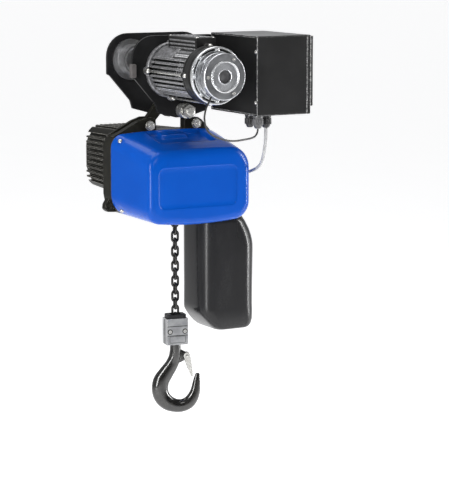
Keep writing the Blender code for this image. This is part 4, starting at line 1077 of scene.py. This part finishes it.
def hook():
    line = smooth_path([(x, 0, z, r) for x, z, r in HOOK_LINE[3:]], 2.5)
    points = [Vector((x, 0, z, r)) for x, z, r in HOOK_LINE[:3]] + line
    path, radii = [p.resized(3) * MM for p in points[:-2]], [p[3] * MM for p in points[:-2]]
    tip, before = points[-2], points[-3]
    way = (tip - before).resized(3).normalized()
    for share in (0.3, 0.55, 0.75, 0.9, 0.98):
        path.append((tip.resized(3) + way * tip[3] * share * 0.8) * MM)
        radii.append(tip[3] * sqrt(1 - share**2) * MM)
    bow = tube(path, 0.01, 7, radii=radii)
    for vertex in bow.verts:
        share = min(1.0, max(0.0, (-545 - vertex.co.z / MM) / 30))
        vertex.co.y *= 1 - 0.3 * share
    bow.transform(HOOK_TURN)
    nut = rod(-519, -502, 11, "Z", (CHAIN_X, 0), 32, 0.6)
    ear = arc(*LATCH, 6, 80, -80, 12) + [(8, -576), (2, -572), (2, -549.5), (11, -549)]
    shapes = [bow, nut, prism([ear, circle(*LATCH, 2.9, 24)], "Y", -3.8, 3.8, 1.1, 3, HOOK_TURN)]
    put("hook_forging", shapes, "forged", "hook", "hook", crease=50, even=False)
    rivet = rod(-7.7, 7.7, 2.2, "Y", LATCH, 28, 0.5)
    rivet.transform(HOOK_TURN)
    put("latch_rivet", rivet, "zinc", "hook", "latch_pin")
    put_node("latch_plate", "latch", 0.7, "zinc", "latch")
    turns = []
    for i in range(61):
        a = i / 60 * 2 * pi * 4
        x, z = LATCH[0] + 4.4 * cos(a), LATCH[1] + 4.4 * sin(a)
        turns.append(Vector((x, -4.2 + 8.4 * i / 60, z)) * MM)
    leg = Vector((26.4, 4.2, -584)) * MM
    spring = tube([*turns, leg], 0.45 * MM, 1, matrix=HOOK_TURN)
    put("latch_spring", spring, "steel", "latch", even=False)


CARRIED = {
    "steel": ("travel_gear_shaft", "travel_rotor", "motor_rotor", "chain_wheel", "chain_pin",
              "bearing_plate"),
    "moulded": ("contactor_block", "chain_guide"),
    "winding": ("motor_windings",),
    "brake_face": ("hoist_brake",),
}


def carried_over():
    """The inner CAD nodes that are seen as they are, in these finishes."""
    for finish, nodes in CARRIED.items():
        for node in nodes:
            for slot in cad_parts[node].material_slots:
                slot.material = LOOKS[finish][0]


# Studio

FLOOR_Z = -1.15
LAMP_AIM = (0, 0, -0.25)


def lamp(name, size, place, power):
    data = bpy.data.lights.new(name, "AREA")
    data.shape = "RECTANGLE"
    data.size, data.size_y = size
    data.energy = power
    obj = shown(name, data)
    obj.location = place
    obj.rotation_euler = (Vector(LAMP_AIM) - obj.location).to_track_quat("-Z", "Y").to_euler()


def studio():
    """A pale floor that glows most behind the hoist, and soft lamps round it."""
    shape = bmesh.new()
    bmesh.ops.create_grid(shape, x_segments=1, y_segments=1, size=60)
    floor = shown("floor", as_mesh("floor", shape))
    floor.location = (0, 0, FLOOR_Z)
    material = bpy.data.materials.new("floor")
    n = Nodes(material)
    pale = n.mix(n.span(n.noise(3, 3), 0, 1), grey(0.9), (0.88, 0.88, 0.885))
    away = n.vector("NORMALIZE", n.vector("SUBTRACT", n.place, CAMERA_PLACE))
    glow = n.span(n.dot(away, BACKDROP), 0.2, 0.7, 0.84, 0.97)
    given = {"Base Color": pale, "Roughness": 0.9, "Emission Color": (1, 1, 1, 1), "Emission Strength": glow}
    n.give(n.shader, given)
    floor.data.materials.append(material)
    sky()
    lamp("top_soft", (2.4, 2.4), (-0.2, 0.1, 2.2), 62)
    lamp("left_soft", (1.5, 2.4), (-2.6, -1.5, 0.3), 12)
    lamp("left_strip", (0.3, 2.2), (-2.5, -1.6, 0.1), 60)
    lamp("right_strip", (0.3, 2.2), (2.7, -1.35, 0), 60)
    lamp("front_soft", (1.2, 1.2), (-0.9, -3.4, 1.9), 16)
    lamp("right_soft", (1.3, 2.4), (2.5, -0.8, 0.2), 30)
    bpy.context.scene.view_settings.view_transform = "Standard"


def sky():
    """Bright behind the hoist and dim in front of it, so that black faces stay black."""
    world = bpy.data.worlds.new("studio")
    bpy.context.scene.world = world
    n = Nodes(world, "Background", "Generated")
    behind = n.span(n.dot(n.place, (0, 1, 0)), 0.1, 0.5, -0.3, 0.5)
    backdrop = n.span(n.dot(n.place, BACKDROP), 0.0, 1.0, 0.8, 0.95)
    n.give(n.shader, {"Color": (0.97, 0.98, 1, 1), "Strength": n.math("MAXIMUM", behind, backdrop)})


trolley()
wheels()
travel_motor()
brake()
control_box()
casting()
cover()
hoist_motor()
chains()
container()
hook_block()
hook()
carried_over()
studio()
